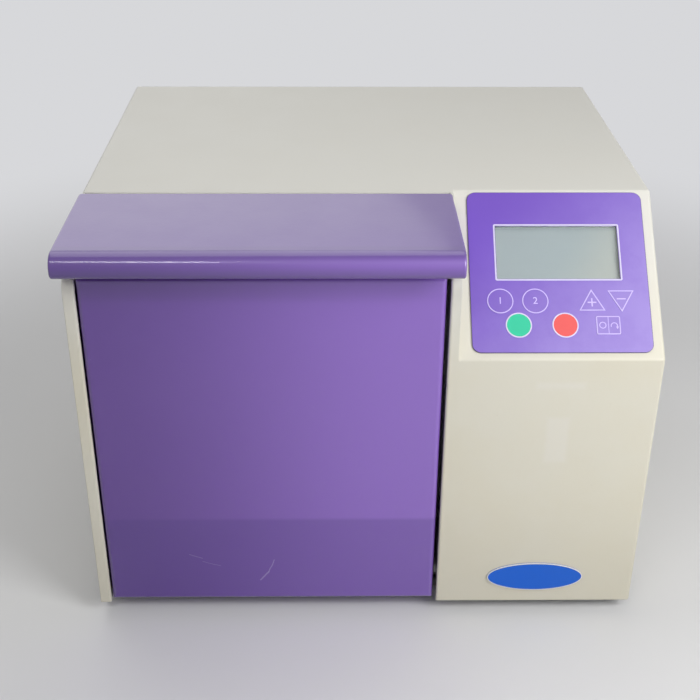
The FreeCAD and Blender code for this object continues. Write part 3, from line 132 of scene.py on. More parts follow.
def build_soft_edges(tree, given):
    """A rounded look for sharp edges, and a mask of where they are worn."""
    rounded = node(tree, "Bevel", {"Radius": given["Radius"]}, samples=6).outputs[0]
    plain = node(tree, "NewGeometry").outputs["Normal"]
    alike = vector_maths(tree, "DOT_PRODUCT", rounded, plain).outputs["Value"]
    edge = spread(tree, alike, 0.995, 0.80)
    broken = spread(tree, noise(tree, 0.006, 3.0), 0.35, 0.62)
    return {"Normal": rounded, "Worn": maths(tree, "MULTIPLY", edge, broken)}


def build_orange_peel(tree, given):
    """The low bumps of sprayed and baked paint, with a finer grain on top."""
    peel = noise(tree, given["Peel"], 1.0)
    grain = noise(tree, given["Grain"], 2.0, seed=3.0)
    fine = maths(tree, "MULTIPLY", grain, given["Fine share"])
    return {"Height": maths(tree, "ADD", peel, fine)}


def build_uneven(tree, given):
    """Slow changes over a surface, from 0 to 1."""
    cloud = noise(tree, given["Size"], 4.0, roughness=0.6, seed=7.0)
    return {"Value": spread(tree, cloud, 0.36, 0.66)}


def build_specks(tree, given):
    """Small scattered specks of dirt."""
    scale = maths(tree, "DIVIDE", 1.0, given["Pitch"])
    cells = node(tree, "TexVoronoi", {"Vector": here(tree), "Scale": scale})
    dot = maths(tree, "LESS_THAN", cells.outputs["Distance"], given["Width share"])
    some = spread(tree, noise(tree, 0.011, 3.0, seed=5.0), 0.56, 0.64)
    return {"Mask": maths(tree, "MULTIPLY", dot, some)}


def build_drawn_lines(tree, given):
    """Fine lines drawn along one axis, as a brush or a mill leaves them."""
    where = vector_maths(tree, "MULTIPLY", here(tree), given["Stretch"]).outputs[0]
    scale = maths(tree, "DIVIDE", 1.0, given["Pitch"])
    inputs = {"Vector": where, "Scale": scale, "Detail": 3.0, "Roughness": 0.6}
    lines = node(tree, "TexNoise", inputs)
    return {"Height": lines.outputs["Fac"]}


def build_rub_marks(tree, given):
    """Faint marks from wiping, long and thin, in two directions."""
    steep = noise(tree, given["Width"], 2.0, stretch=(1.0, 1.0, 0.09), seed=11.0)
    level = noise(tree, given["Width"], 2.0, stretch=(0.07, 1.0, 1.0), seed=17.0)
    both = maths(tree, "MAXIMUM", spread(tree, steep, 0.66, 0.74), spread(tree, level, 0.68, 0.76))
    return {"Mask": both}


def build_scratch(tree, given):
    """A thin scratch from one point to another."""
    along = vector_maths(tree, "SUBTRACT", given["To"], given["From"]).outputs[0]
    wander = node(tree, "TexNoise", {"Vector": here(tree), "Scale": 160.0}).outputs["Color"]
    centred = vector_maths(tree, "SUBTRACT", wander, (0.5,) * 3).outputs[0]
    sway = (1.2 * MM, 0.0, 1.2 * MM)
    shifted = vector_maths(tree, "MULTIPLY_ADD", centred, sway, here(tree)).outputs[0]
    reach = vector_maths(tree, "SUBTRACT", shifted, given["From"]).outputs[0]
    length = vector_maths(tree, "DOT_PRODUCT", along, along).outputs["Value"]
    covered = vector_maths(tree, "DOT_PRODUCT", reach, along).outputs["Value"]
    share = node(tree, "Clamp", {"Value": maths(tree, "DIVIDE", covered, length)}).outputs[0]
    nearest = node(tree, "VectorMath", {0: along, "Scale": share}, operation="SCALE").outputs[0]
    away = vector_maths(tree, "DISTANCE", reach, nearest).outputs["Value"]
    return {"Mask": spread(tree, away, given["Width"], 0.0)}


def build_patch(tree, given):
    """A soft-edged rectangle on a front, between two corners."""
    low = vector_maths(tree, "SUBTRACT", here(tree), given["Low"]).outputs[0]
    high = vector_maths(tree, "SUBTRACT", given["High"], here(tree)).outputs[0]
    nearest = vector_maths(tree, "MINIMUM", low, high).outputs[0]
    parts = node(tree, "SeparateXYZ", {0: nearest}).outputs
    inside = maths(tree, "MINIMUM", parts["X"], maths(tree, "MINIMUM", parts["Y"], parts["Z"]))
    return {"Mask": spread(tree, inside, 0.0, given["Softness"])}


def build_change_along(tree, given):
    """From 0 to 1 between two points, the same at each place square to the way between them."""
    along = vector_maths(tree, "SUBTRACT", given["To"], given["From"]).outputs[0]
    reach = vector_maths(tree, "SUBTRACT", here(tree), given["From"]).outputs[0]
    covered = vector_maths(tree, "DOT_PRODUCT", reach, along).outputs["Value"]
    length = vector_maths(tree, "DOT_PRODUCT", along, along).outputs["Value"]
    return {"Value": spread(tree, maths(tree, "DIVIDE", covered, length), 0.0, 1.0)}


NOWHERE = (0.0, 0.0, 0.0)
SOFT_EDGES = effect(
    "soft_edges",
    {"Radius": 0.0008},
    {"Normal": "Vector", "Worn": "Float"},
    build_soft_edges,
)
ORANGE_PEEL = effect(
    "orange_peel",
    {"Peel": 0.003, "Grain": 0.0005, "Fine share": 0.3},
    {"Height": "Float"},
    build_orange_peel,
)
UNEVEN = effect("uneven", {"Size": 0.1}, {"Value": "Float"}, build_uneven)
SPECKS = effect("specks", {"Pitch": 0.004, "Width share": 0.06}, {"Mask": "Float"}, build_specks)
DRAWN_LINES = effect(
    "drawn_lines",
    {"Stretch": (1.0, 1.0, 1.0), "Pitch": 0.0006},
    {"Height": "Float"},
    build_drawn_lines,
)
RUB_MARKS = effect("rub_marks", {"Width": 0.002}, {"Mask": "Float"}, build_rub_marks)
SCRATCH = effect(
    "scratch", {"From": NOWHERE, "To": NOWHERE, "Width": 0.0005}, {"Mask": "Float"}, build_scratch
)
PATCH = effect(
    "patch", {"Low": NOWHERE, "High": NOWHERE, "Softness": 0.004}, {"Mask": "Float"}, build_patch
)
CHANGE_ALONG = effect(
    "change_along", {"From": NOWHERE, "To": NOWHERE}, {"Value": "Float"}, build_change_along
)


# Materials

class Finish:
    """A material with one Principled shader, and what its colour, gloss and bumps are built from."""

    def __init__(self, name, colour, roughness, **constants):
        self.material = bpy.data.materials.new(name)
        self.material.use_nodes = True
        self.tree = self.material.node_tree
        self.shader = self.tree.nodes["Principled BSDF"]
        for title, setting in constants.items():
            feed(self.tree, self.shader.inputs[title.replace("_", " ")], setting)
        self.colour = colour
        self.roughness = roughness
        self.normal = None

    def effect(self, group, **values):
        return use(self.tree, group, **values)

    def change(self, start, end):
        """A mask that is 0 at one point and 1 at another, with a soft change on the way."""
        return self.effect(CHANGE_ALONG, **{"from": start, "to": end})["Value"]

    def both(self, first, second):
        """A mask for the places where two masks meet."""
        return maths(self.tree, "MULTIPLY", first, second)

    def tint(self, mask, colour, share=1.0):
        """Lay another colour over this one where the mask is 1."""
        amount = maths(self.tree, "MULTIPLY", mask, share)
        self.colour = blend_colours(self.tree, amount, self.colour, colour)

    def dull(self, mask, amount):
        """Make the surface rougher where the mask is 1."""
        self.roughness = maths(self.tree, "MULTIPLY_ADD", mask, amount, self.roughness)

    def bump(self, height, depth):
        """Let a height, from 0 to 1, stand out by a depth in metres."""
        inputs = {"Height": height, "Distance": depth}
        if self.normal:
            inputs["Normal"] = self.normal
        self.normal = node(self.tree, "Bump", inputs).outputs[0]

    def round_edges(self, radius):
        """Make sharp edges look rounded; gives the mask of where they are worn."""
        made = self.effect(SOFT_EDGES, radius=radius)
        self.normal = made["Normal"]
        return made["Worn"]

    def done(self):
        feed(self.tree, self.shader.inputs["Base Color"], self.colour)
        feed(self.tree, self.shader.inputs["Roughness"], self.roughness)
        if self.normal:
            feed(self.tree, self.shader.inputs["Normal"], self.normal)
        return self.material


def scaled(colour, factor, added=0.0):
    """A lighter or darker colour, at most white."""
    return tuple(min(1.0, factor * part + added) for part in colour)


def sprayed(name, colour, faded, roughness, rubbed, **constants):
    """Baked paint on sheet metal: orange peel, a slightly uneven colour and lighter worn edges."""
    paint = Finish(name, colour, roughness, **constants)
    worn = paint.round_edges(0.9 * MM)
    paint.tint(paint.effect(UNEVEN, size=0.11)["Value"], faded)
    paint.dull(paint.effect(UNEVEN, size=0.035)["Value"], 0.05)
    paint.dull(paint.effect(RUB_MARKS, width=1.6 * MM)["Mask"], 0.06)
    paint.tint(worn, rubbed, 0.18)
    paint.bump(paint.effect(ORANGE_PEEL, peel=2.6 * MM, grain=0.45 * MM)["Height"], 0.035 * MM)
    return paint


# Where labels once kept the column's front clean: left, bottom, right and top
CLEAN_PATCHES = ((121.5, 136, 142, 178), (112, 196, 150, 206))
FAR_FORWARD = -1000


def cream_paint():
    """Cream paint, darker and yellower towards the floor, paler at the top and clean under lost labels.
    """
    paint = sprayed("cream_paint", (0.70, 0.675, 0.575), (0.69, 0.655, 0.535), 0.42, (0.78, 0.76, 0.70))
    paint.tint(paint.change(130 * MM * Z, 15 * MM * Z), (0.58, 0.545, 0.44), 0.45)
    paint.tint(paint.change(210 * MM * Z, 290 * MM * Z), (0.715, 0.705, 0.655), 0.85)
    for left, bottom, right, top in CLEAN_PATCHES:
        low = Vector((left, FAR_FORWARD, bottom)) * MM
        high = Vector((right, 0, top)) * MM
        clean = paint.effect(PATCH, low=low, high=high, softness=5 * MM)["Mask"]
        paint.tint(clean, (0.75, 0.73, 0.68), 0.35)
    specks = paint.effect(SPECKS, pitch=5 * MM, width_share=0.05)["Mask"]
    paint.tint(specks, (0.36, 0.32, 0.24), 0.5)
    return paint.done()


# The scratches low on the door: start, end and width
DOOR_SCRATCHES = (
    ((-68.1, -159, 51.8), (-72.5, -159, 40.5), 0.6),
    ((-72.5, -159, 40.5), (-79.1, -159, 32.8), 0.8),
    ((-130.5, -159, 57.0), (-121.0, -159, 53.5), 0.3),
    ((-121.0, -159, 50.5), (-108.0, -159, 46.0), 0.25),
)


def purple_paint():
    """Glossy purple paint of the door and hood: paler to the right, as painted reflection, and darker
    at the door's foot and on the nose's lower part, as painted shade.
    """
    coat = {"Coat_Weight": 1.0, "Coat_Roughness": 0.10, "Specular_IOR_Level": 0.5}
    deep, faded, rubbed = (0.110, 0.041, 0.283), (0.120, 0.048, 0.298), (0.42, 0.33, 0.60)
    paint = sprayed("purple_paint", deep, faded, 0.30, rubbed, **coat)
    # Painted reflection: the door and the hood's nose turn paler to the right, below the hood's top
    painted_reflection_rightwards = paint.change(-190 * MM * X, 20 * MM * X)
    below_hood_top = paint.change(309 * MM * Z, 304.5 * MM * Z)
    paint.tint(paint.both(painted_reflection_rightwards, below_hood_top), (0.268, 0.136, 0.560), 0.9)
    # Painted shade: the door turns darker towards its foot
    paint.tint(paint.change(91 * MM * Z, 87 * MM * Z), (0.055, 0.018, 0.21), 0.35)
    # Painted shade on the hood's nose, deepest on its lower part
    hood_nose_painted_shade = paint.change(-168 * MM * Y, -172 * MM * Y)
    lower_nose_painted_shade = paint.both(hood_nose_painted_shade, paint.change(304 * MM * Z, 295 * MM * Z))
    for mask, share in ((hood_nose_painted_shade, 0.15), (lower_nose_painted_shade, 0.45)):
        paint.tint(mask, (0.050, 0.036, 0.130), share)
    for start, end, width in DOOR_SCRATCHES:
        line = {"from": Vector(start) * MM, "to": Vector(end) * MM, "width": width * MM}
        paint.tint(paint.effect(SCRATCH, **line)["Mask"], (0.40, 0.32, 0.58), 0.6)
    specks = paint.effect(SPECKS, pitch=6 * MM, width_share=0.04)["Mask"]
    paint.tint(specks, (0.45, 0.38, 0.62), 0.35)
    return paint.done()


ALL_WAYS = (1.0, 1.0, 1.0)


def metal(name, colour, roughness, stretch, pitch, depth):
    """Bare metal, with lines left by the brush, rolls or cutter, and a light haze of handling.

    The lines run along the axis that is stretched least; pitch and depth are in millimetres.
    """
    bare = Finish(name, colour, roughness, Metallic=1.0)
    worn = bare.round_edges(0.35 * MM)
    bare.tint(bare.effect(UNEVEN, size=0.06)["Value"], scaled(colour, 0.93))
    bare.dull(bare.effect(UNEVEN, size=0.03)["Value"], 0.04)
    bare.tint(worn, scaled(colour, 1.12), 0.6)
    lines = bare.effect(DRAWN_LINES, stretch=stretch, pitch=pitch * MM)["Height"]
    bare.bump(lines, depth * MM)
    return bare


def stainless():
    return metal("stainless", (0.60, 0.60, 0.585), 0.27, (0.03, 1.0, 1.0), 0.5, 0.006).done()


def zinc_steel():
    bare = metal("zinc_steel", (0.56, 0.57, 0.56), 0.33, ALL_WAYS, 1.2, 0.006)
    bare.tint(bare.effect(SPECKS, pitch=2.5 * MM, width_share=0.18)["Mask"], (0.36, 0.36, 0.34), 0.5)
    return bare.done()


def machined_aluminium():
    return metal("machined_aluminium", (0.74, 0.75, 0.76), 0.36, (1.0, 0.05, 1.0), 0.7, 0.008).done()


def steel_case():
    return metal("steel_case", (0.52, 0.53, 0.53), 0.45, ALL_WAYS, 6, 0.01).done()


def bronze():
    return metal("bronze", (0.55, 0.36, 0.17), 0.38, (1.0, 0.1, 1.0), 0.5, 0.005).done()


def moulded(name, colour, roughness, grain, depth):
    """Moulded rubber or plastic: a fine texture from the mould and scuffs along the edges."""
    stuff = Finish(name, colour, roughness)
    worn = stuff.round_edges(0.5 * MM)
    stuff.tint(stuff.effect(UNEVEN, size=0.05)["Value"], scaled(colour, 0.94))
    stuff.dull(stuff.effect(UNEVEN, size=0.008)["Value"], 0.08)
    stuff.tint(worn, scaled(colour, 1.25, added=0.02), 0.5)
    texture = stuff.effect(ORANGE_PEEL, peel=3 * grain * MM, grain=grain * MM)["Height"]
    stuff.bump(texture, depth * MM)
    return stuff


def black_rubber():
    rubber = moulded("black_rubber", (0.022, 0.022, 0.023), 0.72, 0.5, 0.03)
    rubber.tint(rubber.effect(SPECKS, pitch=3 * MM, width_share=0.12)["Mask"], (0.11, 0.10, 0.09), 0.6)
    return rubber.done()


def grey_rubber():
    return moulded("grey_rubber", (0.20, 0.20, 0.205), 0.66, 0.5, 0.03).done()


def white_plastic():
    return moulded("white_plastic", (0.78, 0.78, 0.76), 0.40, 0.35, 0.01).done()


def black_plastic():
    return moulded("black_plastic", (0.026, 0.026, 0.028), 0.42, 0.4, 0.02).done()


def motor_grey():
    return moulded("motor_grey", (0.085, 0.09, 0.095), 0.5, 0.8, 0.03).done()


def board_green():
    board = moulded("board_green", (0.02, 0.13, 0.055), 0.35, 0.3, 0.004)
    tracks = board.effect(DRAWN_LINES, stretch=(0.15, 1.0, 1.0), pitch=1.2 * MM)["Height"]
    board.tint(spread(board.tree, tracks, 0.52, 0.56), (0.035, 0.20, 0.085), 0.8)
    return board.done()


def film(name, colour, shade=None):
    """Printed polyester film with a fine matt texture; a shade is two points and a colour, laid on as
    painted reflection.
    """
    sheet = Finish(name, colour, 0.46, Specular_IOR_Level=0.45)
    sheet.round_edges(0.15 * MM)
    # Painted reflection: a paler colour laid on between two points
    if shade:
        start, end, paler = shade
        sheet.tint(sheet.change(start, end), paler)
    sheet.tint(sheet.effect(UNEVEN, size=0.02)["Value"], scaled(colour, 0.95), 0.2)
    sheet.dull(sheet.effect(RUB_MARKS, width=0.9 * MM)["Mask"], 0.08)
    sheet.bump(sheet.effect(ORANGE_PEEL, peel=0.5 * MM, grain=0.16 * MM)["Height"], 0.004 * MM)
    return sheet


# The keypad's violet, and how it turns paler towards its lower right corner, as painted reflection of a
# lamp
VIOLET = (0.170, 0.080, 0.500)
FILM_PAINTED_REFLECTION = ((0.075, -0.08, 0.295), (0.185, -0.15, 0.225), (0.335, 0.250, 0.640))


def overlay_violet():
    return film("overlay_violet", VIOLET, FILM_PAINTED_REFLECTION).done()


def key_violet():
    return film("key_violet", VIOLET, FILM_PAINTED_REFLECTION).done()


def key_green():
    return film("key_green", (0.030, 0.560, 0.330)).done()


def key_red():
    return film("key_red", (0.800, 0.105, 0.100)).done()


def badge_blue():
    badge = Finish("badge_blue", (0.004, 0.118, 0.640), 0.34, Specular_IOR_Level=0.35)
    badge.round_edges(0.5 * MM)
    # Painted shade: the blue turns a little darker towards the right
    badge.tint(badge.change(95 * MM * X, 160 * MM * X), (0.006, 0.115, 0.610), 0.7)
    badge.dull(badge.effect(RUB_MARKS, width=1.0 * MM)["Mask"], 0.12)
    badge.bump(badge.effect(ORANGE_PEEL, peel=4 * MM, grain=0.6 * MM)["Height"], 0.01 * MM)
    return badge.done()


def display_glass():
    glass = Finish("display_glass", (0.96, 0.98, 0.98), 0.12, Transmission_Weight=1.0, IOR=1.38)
    glass.dull(glass.effect(RUB_MARKS, width=0.8 * MM)["Mask"], 0.08)
    glass.bump(glass.effect(ORANGE_PEEL, peel=2 * MM, grain=0.4 * MM)["Height"], 0.002 * MM)
    return glass.done()


def display_grey():
    """The display's screen: warmer at its lower right, in shade along its top and right edges."""
    screen = Finish("display_grey", (0.415, 0.47, 0.475), 0.35)
    low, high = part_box("display_window")
    lower_right = Vector((high.x, low.y, low.z))
    screen.tint(screen.change((low + high) / 2, lower_right), (0.52, 0.53, 0.47), 0.8)
    for start, share in ((high - 4 * MM * (Y + Z), 0.3), (high - 5 * MM * X, 0.35)):
        screen.tint(screen.change(start, high), (0.10, 0.12, 0.15), share)
    rows = screen.effect(DRAWN_LINES, stretch=(1.0, 0.1, 0.1), pitch=0.5 * MM)["Height"]
    screen.bump(rows, 0.003 * MM)
    return screen.done()


def white_ink():
    return film("white_ink", (0.72, 0.67, 0.86)).done()


def lavender_ink():
    return film("lavender_ink", (0.66, 0.56, 0.93)).done()


def blackened_steel():
    return metal("blackened_steel", (0.05, 0.05, 0.052), 0.5, ALL_WAYS, 1.2, 0.006).done()


def shadow_line():
    """A dark line of painted shadow round the keypad's film."""
    return moulded("shadow_line", (0.035, 0.028, 0.045), 0.6, 0.4, 0.01).done()


FINISHES = {
    make.__name__: make()
    for make in (
        cream_paint, purple_paint, stainless, zinc_steel, machined_aluminium, black_rubber,
        grey_rubber, white_plastic, black_plastic, bronze, overlay_violet, key_violet, key_green,
        key_red, badge_blue, display_glass, display_grey, board_green, motor_grey, steel_case,
        white_ink, lavender_ink, shadow_line, blackened_steel,
    )
}
# Pieces that are darker than their material slot says
BLACKENED_NODES = ("door_hinge_pins",)


def paint_cad_nodes():
    """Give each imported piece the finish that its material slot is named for."""
    for name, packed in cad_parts.items():
        for place in packed.material_slots:
            slot = "blackened_steel" if name in BLACKENED_NODES else place.material.name.split(".")[0]
            place.material = FINISHES[slot]


# Mesh building

SMOOTH_UNDER = math.radians(35)
WELD_DISTANCE = 1e-7


def new_piece(name, build, finish, body):
    """Make a mesh piece, give it its finish and let it ride on its body."""
    shape = bmesh.new()
    build(shape)
    bmesh.ops.remove_doubles(shape, verts=shape.verts, dist=WELD_DISTANCE)
    bmesh.ops.recalc_face_normals(shape, faces=shape.faces)
    mesh = bpy.data.meshes.new(name)
    shape.to_mesh(mesh)
    shape.free()
    mesh.shade_smooth()
    mesh.set_sharp_from_angle(angle=SMOOTH_UNDER)
    mesh.materials.append(FINISHES[finish])
    made = bpy.data.objects.new(name, mesh)
    bpy.context.scene.collection.objects.link(made)
    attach(made, body)


class Face:
    """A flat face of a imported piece: points on it are given across, up and out, in millimetres."""

    def __init__(self, name, centred=False):
        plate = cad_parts[name].data
        facing = max(plate.polygons, key=lambda side: side.area if side.normal.z > 0 else 0)
        self.out = facing.normal.normalized()
        self.up = self.out.cross(X)
        spots = [vertex.co for vertex in plate.vertices]
        top = max(self.out.dot(spot) for spot in spots)
        rows = [self.up.dot(spot) for spot in spots]
        columns = [spot.x for spot in spots]
        if centred:
            column = (min(columns) + max(columns)) / 2
            row = (min(rows) + max(rows)) / 2
        else:
            column, row = min(columns), min(rows)
        self.width = (max(columns) - min(columns)) / MM
        self.length = (max(rows) - min(rows)) / MM
        self.origin = X * column + self.up * row + self.out * top

    def spot(self, across, up, out):
        """A place on the face, or above it by out."""
        return self.origin + (X * across + self.up * up + self.out * out) * MM


def arc(centre, radius, start, end, steps):
    """Points on an arc, from one angle to another in degrees."""
    angles = [math.radians(start + (end - start) * step / steps) for step in range(steps + 1)]
    return [(centre[0] + radius * math.cos(a), centre[1] + radius * math.sin(a)) for a in angles]


def circle(centre, radius, steps=64):
    return arc(centre, radius, 0, 360, steps)[:-1]


def oval(centre, half_width, half_height, steps=96):
    middle_x, middle_y = centre
    unit = circle((0, 0), 1, steps)
    return [(middle_x + x * half_width, middle_y + y * half_height) for x, y in unit]


def rounded_rectangle(low, high, radius, steps=8):
    (left, bottom), (right, top) = low, high
    corners = (
        ((right - radius, bottom + radius), -90),
        ((right - radius, top - radius), 0),
        ((left + radius, top - radius), 90),
        ((left + radius, bottom + radius), 180),
    )
    return [spot for centre, turn in corners for spot in arc(centre, radius, turn, turn + 90, steps)]


def inset(outline, distance):
    """The same outline, moved inwards, or outwards where the distance is negative.

    Outlines run anticlockwise.
    """
    moved = []
    for index, (x, y) in enumerate(outline):
        before = Vector(outline[index - 1])
        after = Vector(outline[(index + 1) % len(outline)])
        point = Vector((x, y))
        first = (point - before).normalized()
        second = (after - point).normalized()
        inward = Vector((-first.y - second.y, first.x + second.x)).normalized()
        lean = max(0.2, inward.dot(Vector((-first.y, first.x))))
        moved.append(tuple(point + inward * (distance / lean)))
    return moved


def band(shape, place, outer, inner, low, high, inner_low=None):
    """A closed band between two outlines with as many points each.

    Its inner side may end at a level of its own, where the band laps over a key's rim.
    """
    under = low if inner_low is None else inner_low
    rings = [
        [shape.verts.new(place(x, y, level)) for x, y in outline]
        for outline, level in ((outer, low), (outer, high), (inner, high), (inner, under))
    ]
    for ring, following in zip(rings, rings[1:] + rings[:1]):
        for index in range(len(ring)):
            after = (index + 1) % len(ring)
            shape.faces.new((ring[index], ring[after], following[after], following[index]))


def plate(shape, place, outline, low, high):
    """A flat closed plate with square sides."""
    bottom = [shape.verts.new(place(x, y, low)) for x, y in outline]
    top = [shape.verts.new(place(x, y, high)) for x, y in outline]
    shape.faces.new(reversed(bottom))
    shape.faces.new(top)
    for index in range(len(outline)):
        after = (index + 1) % len(outline)
        shape.faces.new((bottom[index], bottom[after], top[after], top[index]))


# The printed keypad, in millimetres: levels are measured from the printed face

INK_SUNK, INK_HIGH = -0.02, 0.07
OVERLAY_CORNER = 6
OVERLAY_LINE = 0.22
DISPLAY_LOW, DISPLAY_HIGH = (17.5, 51.9), (105.0, 93.9)
DISPLAY_LINE = 1.0
DISPLAY_CORNER = 1.2
# The line round a key lies on the film, covers the gap and reaches in over the key's rim
KEY_LINE_OUT = 0.35
KEY_LINE_WIDTHS = {"white_ink": 0.85, "lavender_ink": 0.65}
JUST_OVER_KEY = 0.01
FILM_BELOW_KEY = -0.32
MODE_KEY_CORNER = 0.8
ROUND_KEYS = ("key_one", "key_two", "key_start", "key_stop")
COLOURED_KEYS = ("key_start", "key_stop")


def display_frame():
    """The pale line round the display."""
    face = Face("keypad_overlay")
    outer = rounded_rectangle(DISPLAY_LOW, DISPLAY_HIGH, DISPLAY_CORNER)

    def build(shape):
        band(shape, face.spot, outer, inset(outer, DISPLAY_LINE), INK_SUNK, INK_HIGH)

    new_piece("display_frame_line", build, "white_ink", "housing")


def overlay_edge():
    """The dark line of painted shadow round the keypad's film."""
    face = Face("keypad_overlay")
    corner = (face.width, face.length)
    inner = rounded_rectangle((0, 0), corner, OVERLAY_CORNER)
    outer = inset(inner, -OVERLAY_LINE)

    def build(shape):
        band(shape, face.spot, outer, inner, -0.6, -0.12)

    new_piece("overlay_edge_line", build, "shadow_line", "housing")


def key_outline(name):
    """The pale line round a key, on the keypad's film, following the key's own shape."""
    face = Face(name, centred=True)
    half, rise = face.width / 2, face.length / 2
    if name in ROUND_KEYS:
        rim = circle((0, 0), half)
    elif name == "key_mode":
        rim = rounded_rectangle((-half, -rise), (half, rise), MODE_KEY_CORNER)
    else:
        tip = 1 if name == "key_up" else -1
        rim = [(-half, -rise * tip), (half, -rise * tip), (0, rise * tip)][::tip]
    finish = "white_ink" if name in COLOURED_KEYS else "lavender_ink"
    outer = inset(rim, -KEY_LINE_OUT)
    inner = inset(outer, KEY_LINE_WIDTHS[finish])

    def build(shape):
        band(shape, face.spot, outer, inner, FILM_BELOW_KEY, INK_HIGH, inner_low=JUST_OVER_KEY)

    new_piece(name + "_outline", build, finish, "housing")


def key_mark(name, build):
    new_piece(name + "_mark", build, "lavender_ink", name)


def plus_mark(shape):
    face = Face("key_up", centred=True)
    reach, half, drop = 3.0, 0.42, 1.6
    cross = [
        (half, -reach), (half, -half), (reach, -half), (reach, half), (half, half), (half, reach),
        (-half, reach), (-half, half), (-reach, half), (-reach, -half), (-half, -half), (-half, -reach),
    ]
    plate(shape, face.spot, [(x, y - drop) for x, y in cross], INK_SUNK, INK_HIGH)


def minus_mark(shape):
    face = Face("key_down", centred=True)
    reach, bottom, top = 3.1, 1.1, 1.9
    bar = rounded_rectangle((-reach, bottom), (reach, top), 0.1, 2)
    plate(shape, face.spot, bar, INK_SUNK, INK_HIGH)


def mode_mark(shape):
    """A ring on the left half, a curved arrow on the right half and a line between them."""
    face = Face("key_mode", centred=True)
    reach = face.length / 2 - KEY_LINE_WIDTHS["lavender_ink"] + KEY_LINE_OUT
    half, aside, radius, stroke = 0.2, 3.9, 2.4, 0.55
    middle_line = rounded_rectangle((-half, -reach), (half, reach), 0.1, 2)
    plate(shape, face.spot, middle_line, INK_SUNK, INK_HIGH)
    ring = circle((-aside, 0), radius, 40)
    band(shape, face.spot, ring, inset(ring, stroke), INK_SUNK, INK_HIGH)
    centre = (aside, -0.4)
    bow = arc(centre, radius, -20, 200, 24) + arc(centre, radius - stroke, 200, -20, 24)
    plate(shape, face.spot, bow, INK_SUNK, INK_HIGH)
    arrow_head = [(5.95, -2.9), (6.9, -1.0), (5.0, -1.0)]
    plate(shape, face.spot, arrow_head, INK_SUNK, INK_HIGH)


NUMBER_SIZE = 7.0


def key_number(name, digit):
    """A plain number printed on a round key."""
    face = Face(name, centred=True)
    letters = bpy.data.curves.new(name + "_number", "FONT")
    letters.body = digit
    letters.size = NUMBER_SIZE * MM
    letters.align_x = "CENTER"
    letters.align_y = "CENTER"
    letters.extrude = (INK_HIGH - INK_SUNK) / 2 * MM
    letters.materials.append(FINISHES["lavender_ink"])
    made = bpy.data.objects.new(name + "_number", letters)
    bpy.context.scene.collection.objects.link(made)
    axes = Matrix((X, face.up, face.out)).transposed().to_4x4()
    made.matrix_world = Matrix.Translation(face.spot(0, 0, (INK_HIGH + INK_SUNK) / 2)) @ axes
    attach(made, name)


def badge_rim():
    """The pale raised rim round the oval badge."""
    low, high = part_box("badge_plate")
    centre = ((low.x + high.x) / 2 / MM, (low.z + high.z) / 2 / MM)
    edge = oval(centre, (high.x - low.x) / 2 / MM, (high.z - low.z) / 2 / MM)
    overlap, width, sunk, raised = 0.06, 0.5, -0.8, 0.12
    front = low.y / MM

    def place(x, z, out):
        return Vector((x, front - out, z)) * MM

    def build(shape):
        band(shape, place, inset(edge, -overlap), inset(edge, width), sunk, raised)

    new_piece("badge_rim", build, "white_plastic", "housing")


def keypad_prints():
    display_frame()
    overlay_edge()
    for name in ("key_one", "key_two", "key_start", "key_stop", "key_up", "key_down", "key_mode"):
        key_outline(name)
    key_number("key_one", "1")
    key_number("key_two", "2")
    key_mark("key_up", plus_mark)
    key_mark("key_down", minus_mark)
    key_mark("key_mode", mode_mark)


# Floor, lights and camera

BACKDROP = (0.68, 0.685, 0.705)
AIR = (0.24, 0.24, 0.24)
# Lamps: name, place, target, width, height, power and whether gloss mirrors them
SOFTBOXES = (
    ("right_softbox", (0.50, -0.60, 0.62), (0.05, -0.10, 0.15), 0.4, 0.4, 4.3, True),
    ("top_softbox", (-0.25, 0.55, 1.7), (0.0, 0.0, 0.2), 1.4, 1.4, 7.6, True),
    ("front_softbox", (0.15, -1.15, 1.10), (0.0, -0.15, 0.20), 0.9, 0.5, 1.65, False),
    ("back_softbox", (-0.62, 1.30, 0.85), (0.0, 0.0, 0.25), 1.8, 0.7, 2.45, True),
    ("front_strip", (-0.39, -0.99, 1.17), (-0.17, -0.17, 0.30), 0.38, 0.03, 1.6, True),
)


def looked_at(tree):
    """1 for what the eye, a gloss or a pane shows, and 0 for the light that things receive."""
    rays = node(tree, "LightPath").outputs
    gloss = maths(tree, "MAXIMUM", rays["Is Glossy Ray"], rays["Is Transmission Ray"])
    return maths(tree, "MAXIMUM", rays["Is Camera Ray"], gloss)


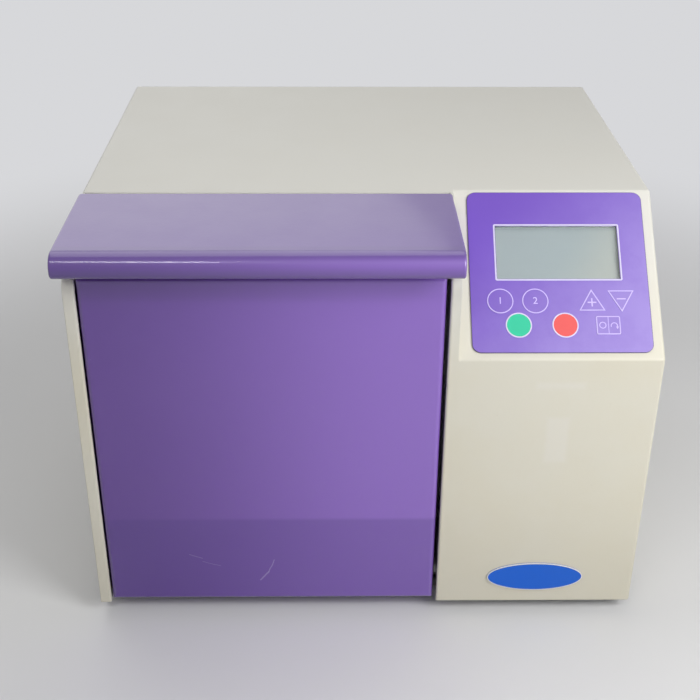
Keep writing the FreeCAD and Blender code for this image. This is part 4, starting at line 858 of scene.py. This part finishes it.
def studio():
    """A pale floor that curves up into a backdrop and turns evenly pale at a distance."""
    paper = Finish("studio_paper", (0.72, 0.72, 0.73), 0.9, Specular_IOR_Level=0.2)
    paper.tint(noise(paper.tree, 0.4), (0.76, 0.76, 0.76))
    material = paper.done()
    tree = paper.tree
    glow = node(tree, "Emission", {"Color": BACKDROP}).outputs[0]
    fade_start, fade_end = 0.40, 0.95
    distance = vector_maths(tree, "LENGTH", here(tree)).outputs["Value"]
    far = spread(tree, distance, fade_start, fade_end)
    share = maths(tree, "MULTIPLY", far, looked_at(tree))
    paler = node(tree, "MixShader", {0: share, 1: paper.shader.outputs[0], 2: glow}).outputs[0]
    tree.links.new(paler, tree.nodes["Material Output"].inputs["Surface"])
    shape = bmesh.new()
    half, front, back, bend, height, steps = 3.0, -3.0, 1.6, 0.8, 3.0, 16
    outline = [(front, 0.0)]
    for step in range(steps + 1):
        turn = math.radians(90 * step / steps)
        outline.append((back - bend + bend * math.sin(turn), bend - bend * math.cos(turn)))
    outline.append((back, height))
    rows = [[shape.verts.new((x, y, z)) for y, z in outline] for x in (-half, half)]
    for index in range(len(outline) - 1):
        shape.faces.new((rows[0][index], rows[1][index], rows[1][index + 1], rows[0][index + 1]))
    mesh = bpy.data.meshes.new("studio_sweep")
    shape.to_mesh(mesh)
    shape.free()
    mesh.shade_smooth()
    mesh.materials.append(material)
    sweep = bpy.data.objects.new("studio_sweep", mesh)
    bpy.context.scene.collection.objects.link(sweep)


def softbox(name, place, target, width, height, power, mirrored):
    light = bpy.data.lights.new(name, "AREA")
    light.shape = "RECTANGLE"
    light.size = width
    light.size_y = height
    light.energy = power
    made = bpy.data.objects.new(name, light)
    bpy.context.scene.collection.objects.link(made)
    made.location = place
    made.rotation_euler = (Vector(target) - Vector(place)).to_track_quat("-Z", "Y").to_euler()
    made.visible_camera = False
    made.visible_glossy = mirrored


def lights():
    world = bpy.data.worlds.new("studio_air")
    bpy.context.scene.world = world
    world.use_nodes = True
    tree = world.node_tree
    air = blend_colours(tree, looked_at(tree), AIR, BACKDROP)
    feed(tree, tree.nodes["Background"].inputs["Color"], air)
    for settings in SOFTBOXES:
        softbox(*settings)


def camera():
    """The camera where the photo was taken from, with its small tilt."""
    lens = bpy.data.cameras.new("camera")
    lens.lens = 60.03
    lens.sensor_width = 36
    made = bpy.data.objects.new("camera", lens)
    bpy.context.scene.collection.objects.link(made)
    made.location = (-0.02256, -0.84038, 0.60689)
    made.rotation_euler = [math.radians(turn) for turn in (61.006, -0.253, -0.668)]
    bpy.context.scene.camera = made


paint_cad_nodes()
keypad_prints()
badge_rim()
studio()
lights()
camera()
bpy.context.scene.view_settings.view_transform = "Standard"
